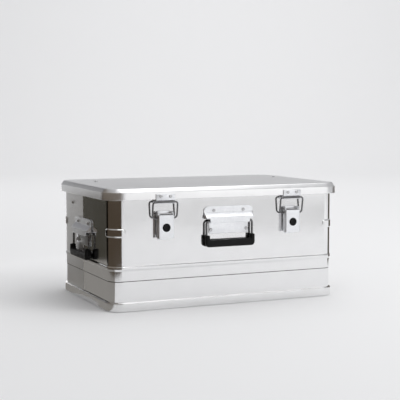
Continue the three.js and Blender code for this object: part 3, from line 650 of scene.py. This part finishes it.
def latch_lever():
    """A channel whose side walls end in ears round the pivot, with a small heel at its foot."""
    half, front, back = LEVER["half"], LEVER["front"], LEVER["back"]
    across = fillet([(-half, -back), (-half, -front), (half, -front), (half, -back)], 2.4, 6)
    across = divided(across, 1.3)
    ear_depths = [3.2, 3.9, 5.2, 7.2, 9.5, 11.6, 12.6, 13.2, 14.6, 18.0]
    ear_tops = [213.2, 216.0, 217.7, 218.3, 218.2, 217.2, 215.5, 213.2, 211.2, LEVER["top"]]
    foot_depths = [3.2, 7.2, 18.0]
    feet = [166.0, LEVER["foot"], LEVER["foot"]]
    shares = [0, 0.01, 0.03] + spaced(0.1, 0.9, 0.1) + [0.97, 0.99, 1]
    rows = []
    for share in shares[::-1]:
        row = []
        for x, y in across:
            low, high = float(np.interp(-y, foot_depths, feet)), float(np.interp(-y, ear_depths, ear_tops))
            row.append((x, y, low + (high - low) * share))
        rows.append(row)
    channel = soften(thick(rows, LEVER["wall"]), 0.3, 2, 60)
    foot, heel_front, heel_back = LEVER["foot"], 0.5 - front, 5.5 - front
    heel_top = foot + LEVER["wall"]
    heel = [(heel_front, foot), (heel_back, foot), (heel_back, heel_top), (heel_front, heel_top)]
    heel = prism(heel, 0.6 - half, half - 0.6)
    dimple = lathe([(0.3, -0.5), (1.2, -0.35), (1.6, 0), (1.6, 0.8)], 16, axis="x")
    left = moved(dimple, (-half, -9.5, 168))
    right = [Vector((-x, y, z)) for x, y, z in left[0]], left[1]
    return combine(channel, heel, left, right)


def latch_pin():
    reach = LEVER["half"] + 1.7
    profile = [
        (0.3, -reach), (2.4, -reach), (3.1, -reach + 0.5), (3.1, -reach + 1.3), (2.0, -reach + 1.4),
        (2.0, reach - 1.4), (3.1, reach - 1.3), (3.1, reach - 0.5), (2.4, reach), (0.3, reach),
    ]
    return lathe(profile, 20, axis="x")


def latch_plug():
    """A round cap with a shallow dished middle."""
    face = -LEVER["front"] - 0.1
    profile = [
        (0.3, face - 0.75), (3.2, face - 0.8), (4.4, face - 0.95), (4.9, face - 1.35), (7.4, face - 1.5),
        (8.7, face - 1.25), (9.25, face - 0.6), (9.3, face), (7.9, face), (7.9, face + 7.4),
        (7.2, face + 8), (0.3, face + 8),
    ]
    return lathe(profile, 40)


def latch_bail():
    bar = corners("left_latch_bail")
    low, high = pivot("left_bail_pivot"), bar[1].z - 1.9
    rise, lean = high - low.z, 5.5
    at = lambda x, share: (x, low.y + HALF_Y - lean * share, low.z + rise * share)
    line = [at(-14.8, 0), at(-29, 0), at(-29, 1), at(29, 1), at(29, 0), at(14.8, 0)]
    return rod(fillet(line, 6.5, 7), 1.9, (0, rise, lean), 16)


def latch_catch():
    """A plate on the skirt, folded in under its foot, down and out again into the hook."""
    half, wall, top, bend, foot = CATCH["half"], LID_PLATE, CATCH["top"], CATCH["bend"], CATCH["foot"]
    near, web, tip = -LID_OVERHANG - GAP, CATCH["web"], CATCH["hook"]
    far = near - wall
    section = [
        (near, top), (far, top), (far, bend - wall), (web - wall, bend - wall),
        (web - wall, foot + wall), (tip, foot + wall), (tip, foot), (web, foot), (web, bend), (near, bend),
    ]
    hook = prism(fillet(section, 0.7, 3, closed=True), -half, half)
    cheek = [(-12.2, 244.4), (-12.2, 242.4), (-9.9, 242.4), (-9.9, 236.4), (-4, 238.5), (-4, 244.4)]
    return combine(hook, prism(cheek, -half, wall - half), prism(cheek, half - wall, half))


def skirt_rivets(xs, z, half_strip):
    """Rivets through a plate on the skirt, with a strip behind the skirt."""
    strip = 1.5
    inside = -LID_OVERHANG + SHEET + GAP + strip
    face = -LID_OVERHANG - GAP - LID_PLATE - 0.05
    backing = rounded_rectangle(half_strip, MOUTH["inside_foot"] + 0.9, z + 4.5, 1, 1)
    return rivet_set([(x, z) for x in xs], face, inside, backing)


def make_latch(side, wall):
    x = pivot(f"{side}_lever_pivot").x
    local = wall @ Matrix.Translation((x, 0, 0))
    axis = pivot(f"{side}_lever_pivot")
    pin_place = Matrix.Translation((0, axis.y + HALF_Y, axis.z))
    make(f"{side}_latch_base", latch_base(), local)
    backing = rounded_rectangle(12, 160, 206, 3, 3)
    rivets = rivet_set([(0, z) for z in LATCH_RIVET_ZS], PLATE_FACE - 0.05, 3.3, backing)
    make(f"{side}_latch_rivets", rivets, local)
    make(f"{side}_latch_pin", latch_pin(), local @ pin_place)
    make(f"{side}_latch_lever", latch_lever(), local)
    make(f"{side}_latch_plug", latch_plug(), local @ Matrix.Translation((0, 0, PLUG_Z)))
    make(f"{side}_latch_bail", latch_bail(), local)
    make(f"{side}_catch", latch_catch(), local)
    make(f"{side}_catch_rivets", skirt_rivets(CATCH_RIVETS["xs"], CATCH_RIVETS["z"], 20), local)


# ---- Hinges, in the rear wall's frame ----

HINGE_HALF = 30.0
MIDDLE_KNUCKLE = 13.0
HINGE_RIVET_XS = (-19.0, 19.0)
BODY_LEAF = {"foot": 194.0, "top": 222.0, "wall": 1.9, "curl": 3.8}
LID_LEAF = {"foot": 245.5, "top": 259.0, "curl": 3.9}


def make_hinge(side, wall, x):
    axis = pivot("lid_hinge")
    centre = (HALF_Y - axis.y, axis.z)
    local = wall @ Matrix.Translation((x, 0, 0))
    end, middle = HINGE_HALF, MIDDLE_KNUCKLE

    foot, top, y = BODY_LEAF["foot"], BODY_LEAF["top"], -1.35
    plate = slab(rounded_rectangle(end, foot, top, 4, 1), PLATE_FACE, PLATE_BACK)
    line = divided([(y, top - 8), (y, top - 0.5)], 8)
    line += [Vector(p) for p in curl((y, top), centre, BODY_LEAF["curl"], -5.3)]
    outer = [strip(line, BODY_LEAF["wall"], *ends) for ends in ((-end, -middle - GAP), (middle + GAP, end))]
    make(f"{side}_hinge_body_leaf", combine(plate, *outer), local)

    foot, top, near = LID_LEAF["foot"], LID_LEAF["top"], -LID_OVERHANG - GAP
    y = near - LID_PLATE / 2
    plate = slab(rounded_rectangle(end, foot, top, 2, 3), near - LID_PLATE, near)
    line = [Vector((y, top - 7)), Vector((y, foot + 1.5))]
    line += curl((y, foot + 0.5), centre, LID_LEAF["curl"], 4.9)[1:]
    tongue = strip(line, LID_PLATE, -middle, middle)
    make(f"{side}_hinge_lid_leaf", combine(plate, tongue), local)

    profile = [(0.3, -end), (1.6, -end), (2.4, 0.6 - end), (2.4, end - 0.6), (1.6, end), (0.3, end)]
    make(f"{side}_hinge_pin", lathe(profile, 20, axis="x"), local @ Matrix.Translation((0, *centre)))
    backing = rounded_rectangle(27, 197, 215, 3, 3)
    rivets = rivet_set([(rx, 206) for rx in HINGE_RIVET_XS], PLATE_FACE - 0.05, 3.3, backing)
    make(f"{side}_hinge_body_rivets", rivets, local)
    make(f"{side}_hinge_lid_rivets", skirt_rivets(HINGE_RIVET_XS, 254, 27), local)


# ---- Lid stays ----

STRAP = {"half": 8.0, "thick": 1.4, "tail": 9.0, "bend": 14.0}


def stay_rivet():
    """A rivet along Y through a sheet at y = 0, with a washer on its inner end."""
    profile = [
        (0.4, -0.9), (1.25, -0.95), (1.4, -1.8), (2.1, -2.05), (3.2, -1.7), (4.0, -1.0),
        (4.15, -0.3), (2.1, -0.3), (2.1, 3.5), (7.6, 3.5), (8.0, 3.9), (8.0, 4.3), (7.6, 4.7),
        (3, 4.7), (2.7, 5.6), (1.8, 6.0), (0.4, 6.1),
    ]
    return lathe(profile)


def about_hinge(point, angle):
    """A point of the lid when the lid has been opened by an angle in radians."""
    axis = pivot("lid_hinge")
    y, z = point.y - axis.y, point.z - axis.z
    c, s = math.cos(angle), math.sin(angle)
    return Vector((point.x, axis.y + y * c + z * s, axis.z - y * s + z * c))


def make_strap(side, sign):
    """Webbing, laid out straight between its rivets with the lid open, and turned back to the shut lid."""
    wall_anchor, lid_anchor = centre_of(f"{side}_stay_wall_rivet"), centre_of(f"{side}_stay_lid_rivet")
    inside = SHEET + GAP + STRAP["thick"] / 2
    wall_anchor.x = sign * (HALF_X - inside)
    lid_anchor.z = LID_TOP - inside
    opened = math.radians(JOINTS["lid_hinge"]["range_deg"][1])
    far_anchor = about_hinge(lid_anchor, opened)
    span = far_anchor - wall_anchor
    lid_normal = about_hinge(lid_anchor + Vector((0, 0, 1)), opened) - far_anchor
    wall_normal = Vector((sign, 0, 0))
    on_wall = (span - span.project(wall_normal)).normalized() * STRAP["tail"]
    on_lid = (span - span.project(lid_normal)).normalized() * STRAP["tail"]
    line = [wall_anchor - on_wall, wall_anchor + on_wall, far_anchor - on_lid, far_anchor + on_lid]
    line = divided(fillet(line, STRAP["bend"], 6), 4)
    travelled = [0.0]
    for start, end in zip(line, line[1:]):
        travelled.append(travelled[-1] + (end - start).length)
    half, thin = STRAP["half"], STRAP["thick"] / 2
    flat_x = (far_anchor - on_lid).x
    ends = (line[0].x - sign * 0.5, flat_x + sign * (half + 1))
    section = rounded_rectangle(half, -thin, thin, 0.6, 0.6)(0)
    rows = []
    for i, here in enumerate(line):
        along = (line[min(i + 1, len(line) - 1)] - line[max(i - 1, 0)]).normalized()
        turned = min(max((ends[1] - here.x) / (ends[1] - flat_x), 0.0), 1.0)
        share = turned ** 2.5
        normal = wall_normal.lerp(lid_normal * (1 if lid_normal.y > 0 else -1), share).normalized()
        normal = (normal - normal.project(along)).normalized()
        wide = along.cross(normal)
        if share == 0.0:
            wide = Vector((0, wide.y, wide.z)).normalized()
        row = []
        for a, b in section:
            point = here + wide * a + normal * b
            weight = smooth((point.x - ends[0]) / (ends[1] - ends[0]))
            row.append(about_hinge(point, -weight * opened))
        rows.append(row)
    strap = make(f"{side}_stay_strap", loft(rows), Matrix.Identity(4), rides=False)
    uv = strap.data.uv_layers.new(name="weave")
    count = len(section)
    for loop in strap.data.loops:
        row, place = divmod(loop.vertex_index, count)
        uv.data[loop.index].uv = (section[place][0], travelled[row])
    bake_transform(strap)


def make_stay(side, sign):
    wall, lid = centre_of(f"{side}_stay_wall_rivet"), centre_of(f"{side}_stay_lid_rivet")
    place = Matrix.Translation((sign * HALF_X, wall.y, wall.z))
    make(f"{side}_stay_wall_rivet", stay_rivet(), place @ Matrix.Rotation(sign * math.pi / 2, 4, "Z"))
    place = Matrix.Translation((lid.x, lid.y, LID_TOP))
    make(f"{side}_stay_lid_rivet", stay_rivet(), place @ Matrix.Rotation(-math.pi / 2, 4, "X"))
    make_strap(side, sign)


# ---- Materials ----

class Graph:
    """A material's nodes, with the object's own coordinates in metres."""

    def __init__(self, name, metallic):
        self.material = bpy.data.materials.new(name)
        self.material.use_nodes = True
        self.nodes = self.material.node_tree.nodes
        self.links = self.material.node_tree.links
        self.shader = self.nodes["Principled BSDF"]
        self.shader.inputs["Metallic"].default_value = metallic
        self.place = self.nodes.new("ShaderNodeTexCoord").outputs["Object"]
        self.normal = None

    def set(self, socket, value):
        if isinstance(value, bpy.types.NodeSocket):
            self.links.new(value, socket)
        else:
            socket.default_value = value

    def noise(self, scale, detail=3.0, roughness=0.5, distortion=0.0):
        """Noise whose grain may differ along X, Y and Z; scale is in grains a metre."""
        mapping = self.nodes.new("ShaderNodeMapping")
        mapping.inputs["Scale"].default_value = scale if hasattr(scale, "__len__") else (scale,) * 3
        self.links.new(self.place, mapping.inputs["Vector"])
        node = self.nodes.new("ShaderNodeTexNoise")
        self.links.new(mapping.outputs["Vector"], node.inputs["Vector"])
        given = {"Scale": 1.0, "Detail": detail, "Roughness": roughness, "Distortion": distortion}
        for name, value in given.items():
            node.inputs[name].default_value = value
        return node.outputs["Fac"]

    def between(self, value, low, high, to_low=0.0, to_high=1.0):
        """The value's range from low to high, spread smoothly over another range."""
        node = self.nodes.new("ShaderNodeMapRange")
        node.interpolation_type = "SMOOTHSTEP"
        names = ("Value", "From Min", "From Max", "To Min", "To Max")
        for name, given in zip(names, (value, low, high, to_low, to_high)):
            self.set(node.inputs[name], given)
        return node.outputs["Result"]

    def near_height(self, height, reach):
        """1 at a height and 0 from reach above or below it, both in metres."""
        split = self.nodes.new("ShaderNodeSeparateXYZ")
        self.links.new(self.place, split.inputs["Vector"])
        off = self.math("ABSOLUTE", self.math("SUBTRACT", split.outputs["Z"], height))
        return self.between(off, reach * 0.5, reach, 1.0, 0.0)

    def math(self, operation, first, second=0.0):
        node = self.nodes.new("ShaderNodeMath")
        node.operation = operation
        self.set(node.inputs[0], first)
        self.set(node.inputs[1], second)
        return node.outputs["Value"]

    def blend(self, share, first, second):
        node = self.nodes.new("ShaderNodeMix")
        node.data_type = "RGBA"
        self.set(node.inputs["Factor"], share)
        self.set(node.inputs["A"], (*first, 1) if isinstance(first, tuple) else first)
        self.set(node.inputs["B"], (*second, 1) if isinstance(second, tuple) else second)
        return node.outputs["Result"]

    def bump(self, height, depth):
        """Adds relief; depth is in metres."""
        node = self.nodes.new("ShaderNodeBump")
        node.inputs["Strength"].default_value = 1.0
        node.inputs["Distance"].default_value = depth
        self.set(node.inputs["Height"], height)
        if self.normal:
            self.links.new(self.normal, node.inputs["Normal"])
        self.normal = node.outputs["Normal"]
        self.links.new(self.normal, self.shader.inputs["Normal"])

    def colour(self, value):
        self.set(self.shader.inputs["Base Color"], value)

    def rough(self, value):
        self.set(self.shader.inputs["Roughness"], value)


ALUMINIUM = (0.88, 0.88, 0.885)
# Painted shade: a thin dark line of colour along the step's crease, standing in for the shadow in its
# groove
CREASE_SHADE_PAINT = {"reach": 0.0012, "colour": (0.16, 0.155, 0.15)}


def sheet_material(name, grain, roughness):
    """Rolled aluminium sheet: fine grain, smudges, small scratches, waves and painted shade along the
    crease.
    """
    graph = Graph(name, 1.0)
    rolled = graph.noise(grain, 4, 0.6)
    smudge = graph.noise(9, 4, 0.55, 0.6)
    cloud = graph.noise(28, 3, 0.6)
    handled = graph.between(smudge, 0.42, 0.72)
    dull = tuple(c * 0.975 for c in ALUMINIUM)
    metal = graph.blend(graph.between(cloud, 0.3, 0.7), ALUMINIUM, dull)
    # Painted shade: the sheet's colour turns dark within about a millimetre of the crease
    crease = graph.near_height(STEP_Z * MM, CREASE_SHADE_PAINT["reach"])
    graph.colour(graph.blend(crease, metal, CREASE_SHADE_PAINT["colour"]))
    rough = graph.between(rolled, 0.25, 0.75, roughness - 0.012, roughness + 0.012)
    rough = graph.math("ADD", rough, graph.math("MULTIPLY", handled, 0.02))
    scratches = graph.between(graph.noise((60, 60, 840), 2, 0.5, 1.2), 0.5, 0.512)
    graph.rough(graph.math("ADD", rough, graph.math("MULTIPLY", scratches, 0.015)))
    graph.bump(graph.noise(7, 2, 0.4), 0.0003)
    graph.bump(rolled, 0.000004)
    return graph.material


def rim_material():
    graph = Graph("extruded aluminium", 1.0)
    lines = graph.noise((6, 6, 1400), 3, 0.6)
    wear = graph.noise(40, 4, 0.6)
    graph.colour(graph.blend(graph.between(wear, 0.3, 0.7), (0.88, 0.88, 0.885), (0.84, 0.84, 0.84)))
    graph.rough(graph.between(lines, 0.3, 0.7, 0.18, 0.24))
    graph.bump(lines, 0.000004)
    graph.bump(graph.noise(12, 2), 0.0003)
    return graph.material


def plate_material():
    """Zinc-plated pressed steel: pale, faintly blue, with a soft mottle."""
    graph = Graph("plated steel", 1.0)
    mottle = graph.noise(220, 3, 0.6)
    patch = graph.noise(45, 3, 0.5)
    colour = graph.blend(graph.between(mottle, 0.3, 0.7), (0.90, 0.91, 0.93), (0.85, 0.86, 0.885))
    graph.colour(graph.blend(graph.between(patch, 0.45, 0.8, 0.0, 0.6), colour, (0.80, 0.81, 0.84)))
    graph.rough(graph.between(mottle, 0.25, 0.75, 0.30, 0.42))
    graph.bump(mottle, 0.00002)
    graph.bump(graph.noise((60, 60, 900), 2), 0.000008)
    return graph.material


def mottled_metal(name, scale, light, dark, rough, depth):
    graph = Graph(name, 1.0)
    mottle = graph.noise(scale, 3, 0.6)
    graph.colour(graph.blend(graph.between(mottle, 0.3, 0.7), light, dark))
    graph.rough(graph.between(mottle, 0.25, 0.75, *rough))
    graph.bump(mottle, depth)
    return graph.material


def plastic_material():
    """Black moulded plastic with a fine leathery grain, paler where it has been rubbed."""
    graph = Graph("black plastic", 0.0)
    grain = graph.noise(1500, 3, 0.6)
    rubbed = graph.noise(60, 3, 0.6)
    worn = graph.between(rubbed, 0.45, 0.8, 0.0, 0.7)
    graph.colour(graph.blend(worn, (0.003, 0.003, 0.0035), (0.008, 0.008, 0.0085)))
    graph.rough(graph.between(rubbed, 0.3, 0.7, 0.38, 0.52))
    graph.bump(grain, 0.00008)
    graph.shader.inputs["Specular IOR Level"].default_value = 0.2
    return graph.material


def rubber_material():
    graph = Graph("seal rubber", 0.0)
    dust = graph.noise(120, 4, 0.6)
    graph.colour(graph.blend(graph.between(dust, 0.4, 0.75), (0.030, 0.030, 0.032), (0.075, 0.073, 0.070)))
    graph.rough(graph.between(dust, 0.3, 0.7, 0.62, 0.80))
    graph.bump(graph.noise(1100, 2), 0.00006)
    return graph.material


def webbing_material():
    """Woven tape: its own map runs in millimetres across and along it."""
    graph = Graph("webbing", 0.0)
    mapped = graph.nodes.new("ShaderNodeUVMap")
    mapped.uv_map = "weave"
    split = graph.nodes.new("ShaderNodeSeparateXYZ")
    graph.links.new(mapped.outputs["UV"], split.inputs["Vector"])
    across, along = split.outputs["X"], split.outputs["Y"]
    yarn = 2 * math.pi / 1.3
    warp = graph.math("SINE", graph.math("MULTIPLY", across, yarn))
    weft = graph.math("SINE", graph.math("MULTIPLY", along, yarn * 0.8))
    weave = graph.math("MULTIPLY", warp, weft)
    fuzz = graph.noise(900, 3, 0.6)
    graph.colour(graph.blend(graph.between(weave, -1.0, 1.0), (0.018, 0.018, 0.020), (0.052, 0.052, 0.056)))
    graph.rough(graph.between(fuzz, 0.3, 0.7, 0.78, 0.95))
    graph.bump(weave, 0.00025)
    graph.bump(fuzz, 0.0001)
    graph.shader.inputs["Sheen Weight"].default_value = 0.25
    return graph.material


LOOKS = {
    "sheet_aluminium": sheet_material("front sheet", (9, 9, 900), 0.10),
    "rim_aluminium": rim_material(),
    "plate_steel": plate_material(),
    "wire_steel": mottled_metal(
        "plated wire", 500, (0.24, 0.24, 0.245), (0.14, 0.14, 0.145), (0.22, 0.36), 0.00002
    ),
    "rivet_metal": mottled_metal(
        "rivet metal", 700, (0.74, 0.74, 0.75), (0.52, 0.52, 0.53), (0.22, 0.40), 0.00003
    ),
    "black_plastic": plastic_material(),
    "seal_rubber": rubber_material(),
    "stay_webbing": webbing_material(),
}
REAR_LOOK = sheet_material("rear sheet", (9, 9, 900), 0.46)
LID_LOOK = sheet_material("lid sheet", (9, 900, 900), 0.30)


# ---- Making the pieces ----

def make(node, part, place, look=None, rides=True):
    """The visible piece that stands for a CAD node. place is in millimetres."""
    mesh = bpy.data.meshes.new(node)
    mesh.from_pydata([(place @ Vector(p)) * MM for p in part[0]], [], part[1])
    builder = bmesh.new()
    builder.from_mesh(mesh)
    bmesh.ops.recalc_face_normals(builder, faces=builder.faces)
    builder.to_mesh(mesh)
    builder.free()
    mesh.shade_smooth()
    mesh.set_sharp_from_angle(angle=math.radians(48))
    mesh.materials.append(look or LOOKS[SLOT_OF[node]])
    piece = bpy.data.objects.new(f"{node}_surface", mesh)
    bpy.context.scene.collection.objects.link(piece)
    if rides:
        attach(piece, BODY_OF[node])
    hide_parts(node)
    return piece


def wall_frame(x, y, turn):
    """x along the wall, -y outwards from its face, z up from the ground."""
    return Matrix.Translation((x, y, 0)) @ Matrix.Rotation(math.radians(turn), 4, "Z")


CASE = Matrix.Identity(4)
front_sheet, rear_sheet = body_sheets()
make("body_front_sheet", front_sheet, CASE)
make("body_rear_sheet", rear_sheet, CASE, REAR_LOOK)
make("base_pan", base_pan(), CASE, LID_LOOK)
make("base_rim", base_rim(), CASE)
make("mouth_frame", mouth_frame(), CASE)
make("lid_panel", lid_panel(), CASE, LID_LOOK)
make("lid_hem", lid_hem(), CASE)
make("lid_seal", lid_seal(), CASE)

side_pivot = pivot("left_handle_hinge")
front_wall = wall_frame(0, -HALF_Y, 0)
make_handle("front", front_wall, pivot("front_handle_hinge").z)
make_handle("left", wall_frame(-HALF_X, side_pivot.y, -90), side_pivot.z)
make_handle("right", wall_frame(HALF_X, side_pivot.y, 90), side_pivot.z)
for side in ("left", "right"):
    make_latch(side, front_wall)
rear_wall = wall_frame(0, HALF_Y, 180)
hinge_x = centre_of("right_hinge_pin").x
make_hinge("left", rear_wall, hinge_x)
make_hinge("right", rear_wall, -hinge_x)
make_stay("left", -1)
make_stay("right", 1)


# ---- Stage, lights and camera, in metres ----

def plain_material(name, colour, strength=0.0):
    """A dull surface, or one that glows and reflects nothing if strength is above 0."""
    material = bpy.data.materials.new(name)
    material.use_nodes = True
    inputs = material.node_tree.nodes["Principled BSDF"].inputs
    inputs["Base Color"].default_value = (0, 0, 0, 1) if strength else (*colour, 1)
    inputs["Roughness"].default_value = 0.9
    inputs["Specular IOR Level"].default_value = 0.0 if strength else 0.1
    inputs["Emission Color"].default_value = (*colour, 1)
    inputs["Emission Strength"].default_value = strength
    return material


def stage_piece(name, rows, material):
    points, faces = loft(rows, loops=False)
    mesh = bpy.data.meshes.new(name)
    mesh.from_pydata(points, [], faces)
    mesh.shade_smooth()
    mesh.materials.append(material)
    piece = bpy.data.objects.new(name, mesh)
    bpy.context.scene.collection.objects.link(piece)
    return piece


def card(name, line, azimuths, tone, strength=1.0):
    """A curved screen that only shows in reflections.

    Its upright section is a line of (radius, height) points. It runs round the case between
    two azimuths, where 0 is -Y and 90 is +X.
    """
    rows = []
    for radius, z in line:
        turns = [math.radians(degrees) for degrees in spaced(*azimuths, 4)]
        rows.append([(radius * math.sin(a), -radius * math.cos(a), z) for a in turns])
    piece = stage_piece(name, rows, plain_material(name, tone, strength))
    piece.visible_camera = False
    piece.visible_diffuse = False
    piece.visible_shadow = False


def backdrop():
    """A floor that turns up into a far wall, about square to the camera's view."""
    near, far, side, bend, high = -6.0, 7.0, 9.0, 2.0, 7.0
    start = far - bend
    line = [(near, 0.0), (start, 0.0)]
    for angle in spaced(0.1, math.pi / 2, 0.1):
        line.append((start + bend * math.sin(angle), bend - bend * math.cos(angle)))
    line.append((far, high))
    turn = Matrix.Rotation(math.radians(-24.2), 3, "Z")
    rows = [[turn @ Vector((x, y, z)) for x in spaced(-side, side, 3)] for y, z in line]
    stage_piece("backdrop", rows, plain_material("paper", (0.83, 0.83, 0.835)))


def area_light(name, place, target, size, power):
    light = bpy.data.lights.new(name, "AREA")
    light.shape = "RECTANGLE"
    light.size, light.size_y = size
    light.energy = power
    holder = bpy.data.objects.new(name, light)
    holder.location = place
    holder.rotation_mode = "QUATERNION"
    holder.rotation_quaternion = (Vector(target) - Vector(place)).to_track_quat("-Z", "Y")
    bpy.context.scene.collection.objects.link(holder)
    return holder


def studio():
    backdrop()
    radius, edge = 0.8, 0.215
    low_screen = [(radius, -0.01), (radius, edge)]
    upper_screen = [(radius, edge), (radius, 0.8)]
    card("brown screen behind", low_screen, (-148, -134), (0.050, 0.046, 0.037))
    card("black screen", low_screen, (-134, -108), (0.003, 0.002, 0.001))
    card("brown screen beside", low_screen, (-108, -20), (0.066, 0.050, 0.036))
    card("grey screen above", upper_screen, (-128, -20), (0.19, 0.165, 0.14))
    card("brown screen right", [(radius, -0.01), (radius, 0.26)], (78, 150), (0.10, 0.085, 0.070))
    card("pale screen behind", [(radius, 0.02), (radius, edge)], (-176, -148), (1.0, 1.0, 1.0), 2.0)
    card("shaded floor beside", [(0.30, 0.002), (radius, 0.002)], (-146, -60), (0.25, 0.24, 0.225))
    card("shaded floor ahead", [(1.75, 0.002), (3.4, 0.002)], (5, 45), (0.72, 0.72, 0.725))
    card("dark ceiling", [(5.0, 1.5), (5.0, 4.4)], (120, 240), (0.14, 0.14, 0.15))
    card("low white strip", [(3.0, 0.09), (3.0, 0.9)], (8, 42), (1.0, 1.0, 1.0), 1.4)
    area_light("overhead", (0.6, -0.4, 3.2), (0, 0, 0), (3.4, 2.6), 46)
    key = area_light("key", (2.6, -2.4, 2.2), (0, 0, 0.1), (2.2, 2.0), 48)
    key.visible_glossy = False
    area_light("backdrop wash", (1.5, 2.6, 4.5), (2.2, 6.5, 1.0), (6, 2), 125)
    world = bpy.data.worlds.new("room")
    bpy.context.scene.world = world
    world.use_nodes = True
    background = world.node_tree.nodes["Background"].inputs
    background["Color"].default_value = (0.98, 0.985, 1.0, 1)
    background["Strength"].default_value = 0.48


def camera():
    """The view from the front left, a little above the lid."""
    data = bpy.data.cameras.new("view")
    data.lens = 91.9
    data.sensor_width = 36
    data.clip_end = 50
    holder = bpy.data.objects.new("view", data)
    holder.location = (-1.0025, -2.2517, 0.425)
    yaw, pitch = math.radians(24.22), math.radians(-4.66)
    ahead = Vector((math.sin(yaw) * math.cos(pitch), math.cos(yaw) * math.cos(pitch), math.sin(pitch)))
    holder.rotation_mode = "QUATERNION"
    holder.rotation_quaternion = ahead.to_track_quat("-Z", "Y")
    bpy.context.scene.collection.objects.link(holder)
    bpy.context.scene.camera = holder


studio()
camera()
bpy.context.scene.view_settings.view_transform = "Standard"
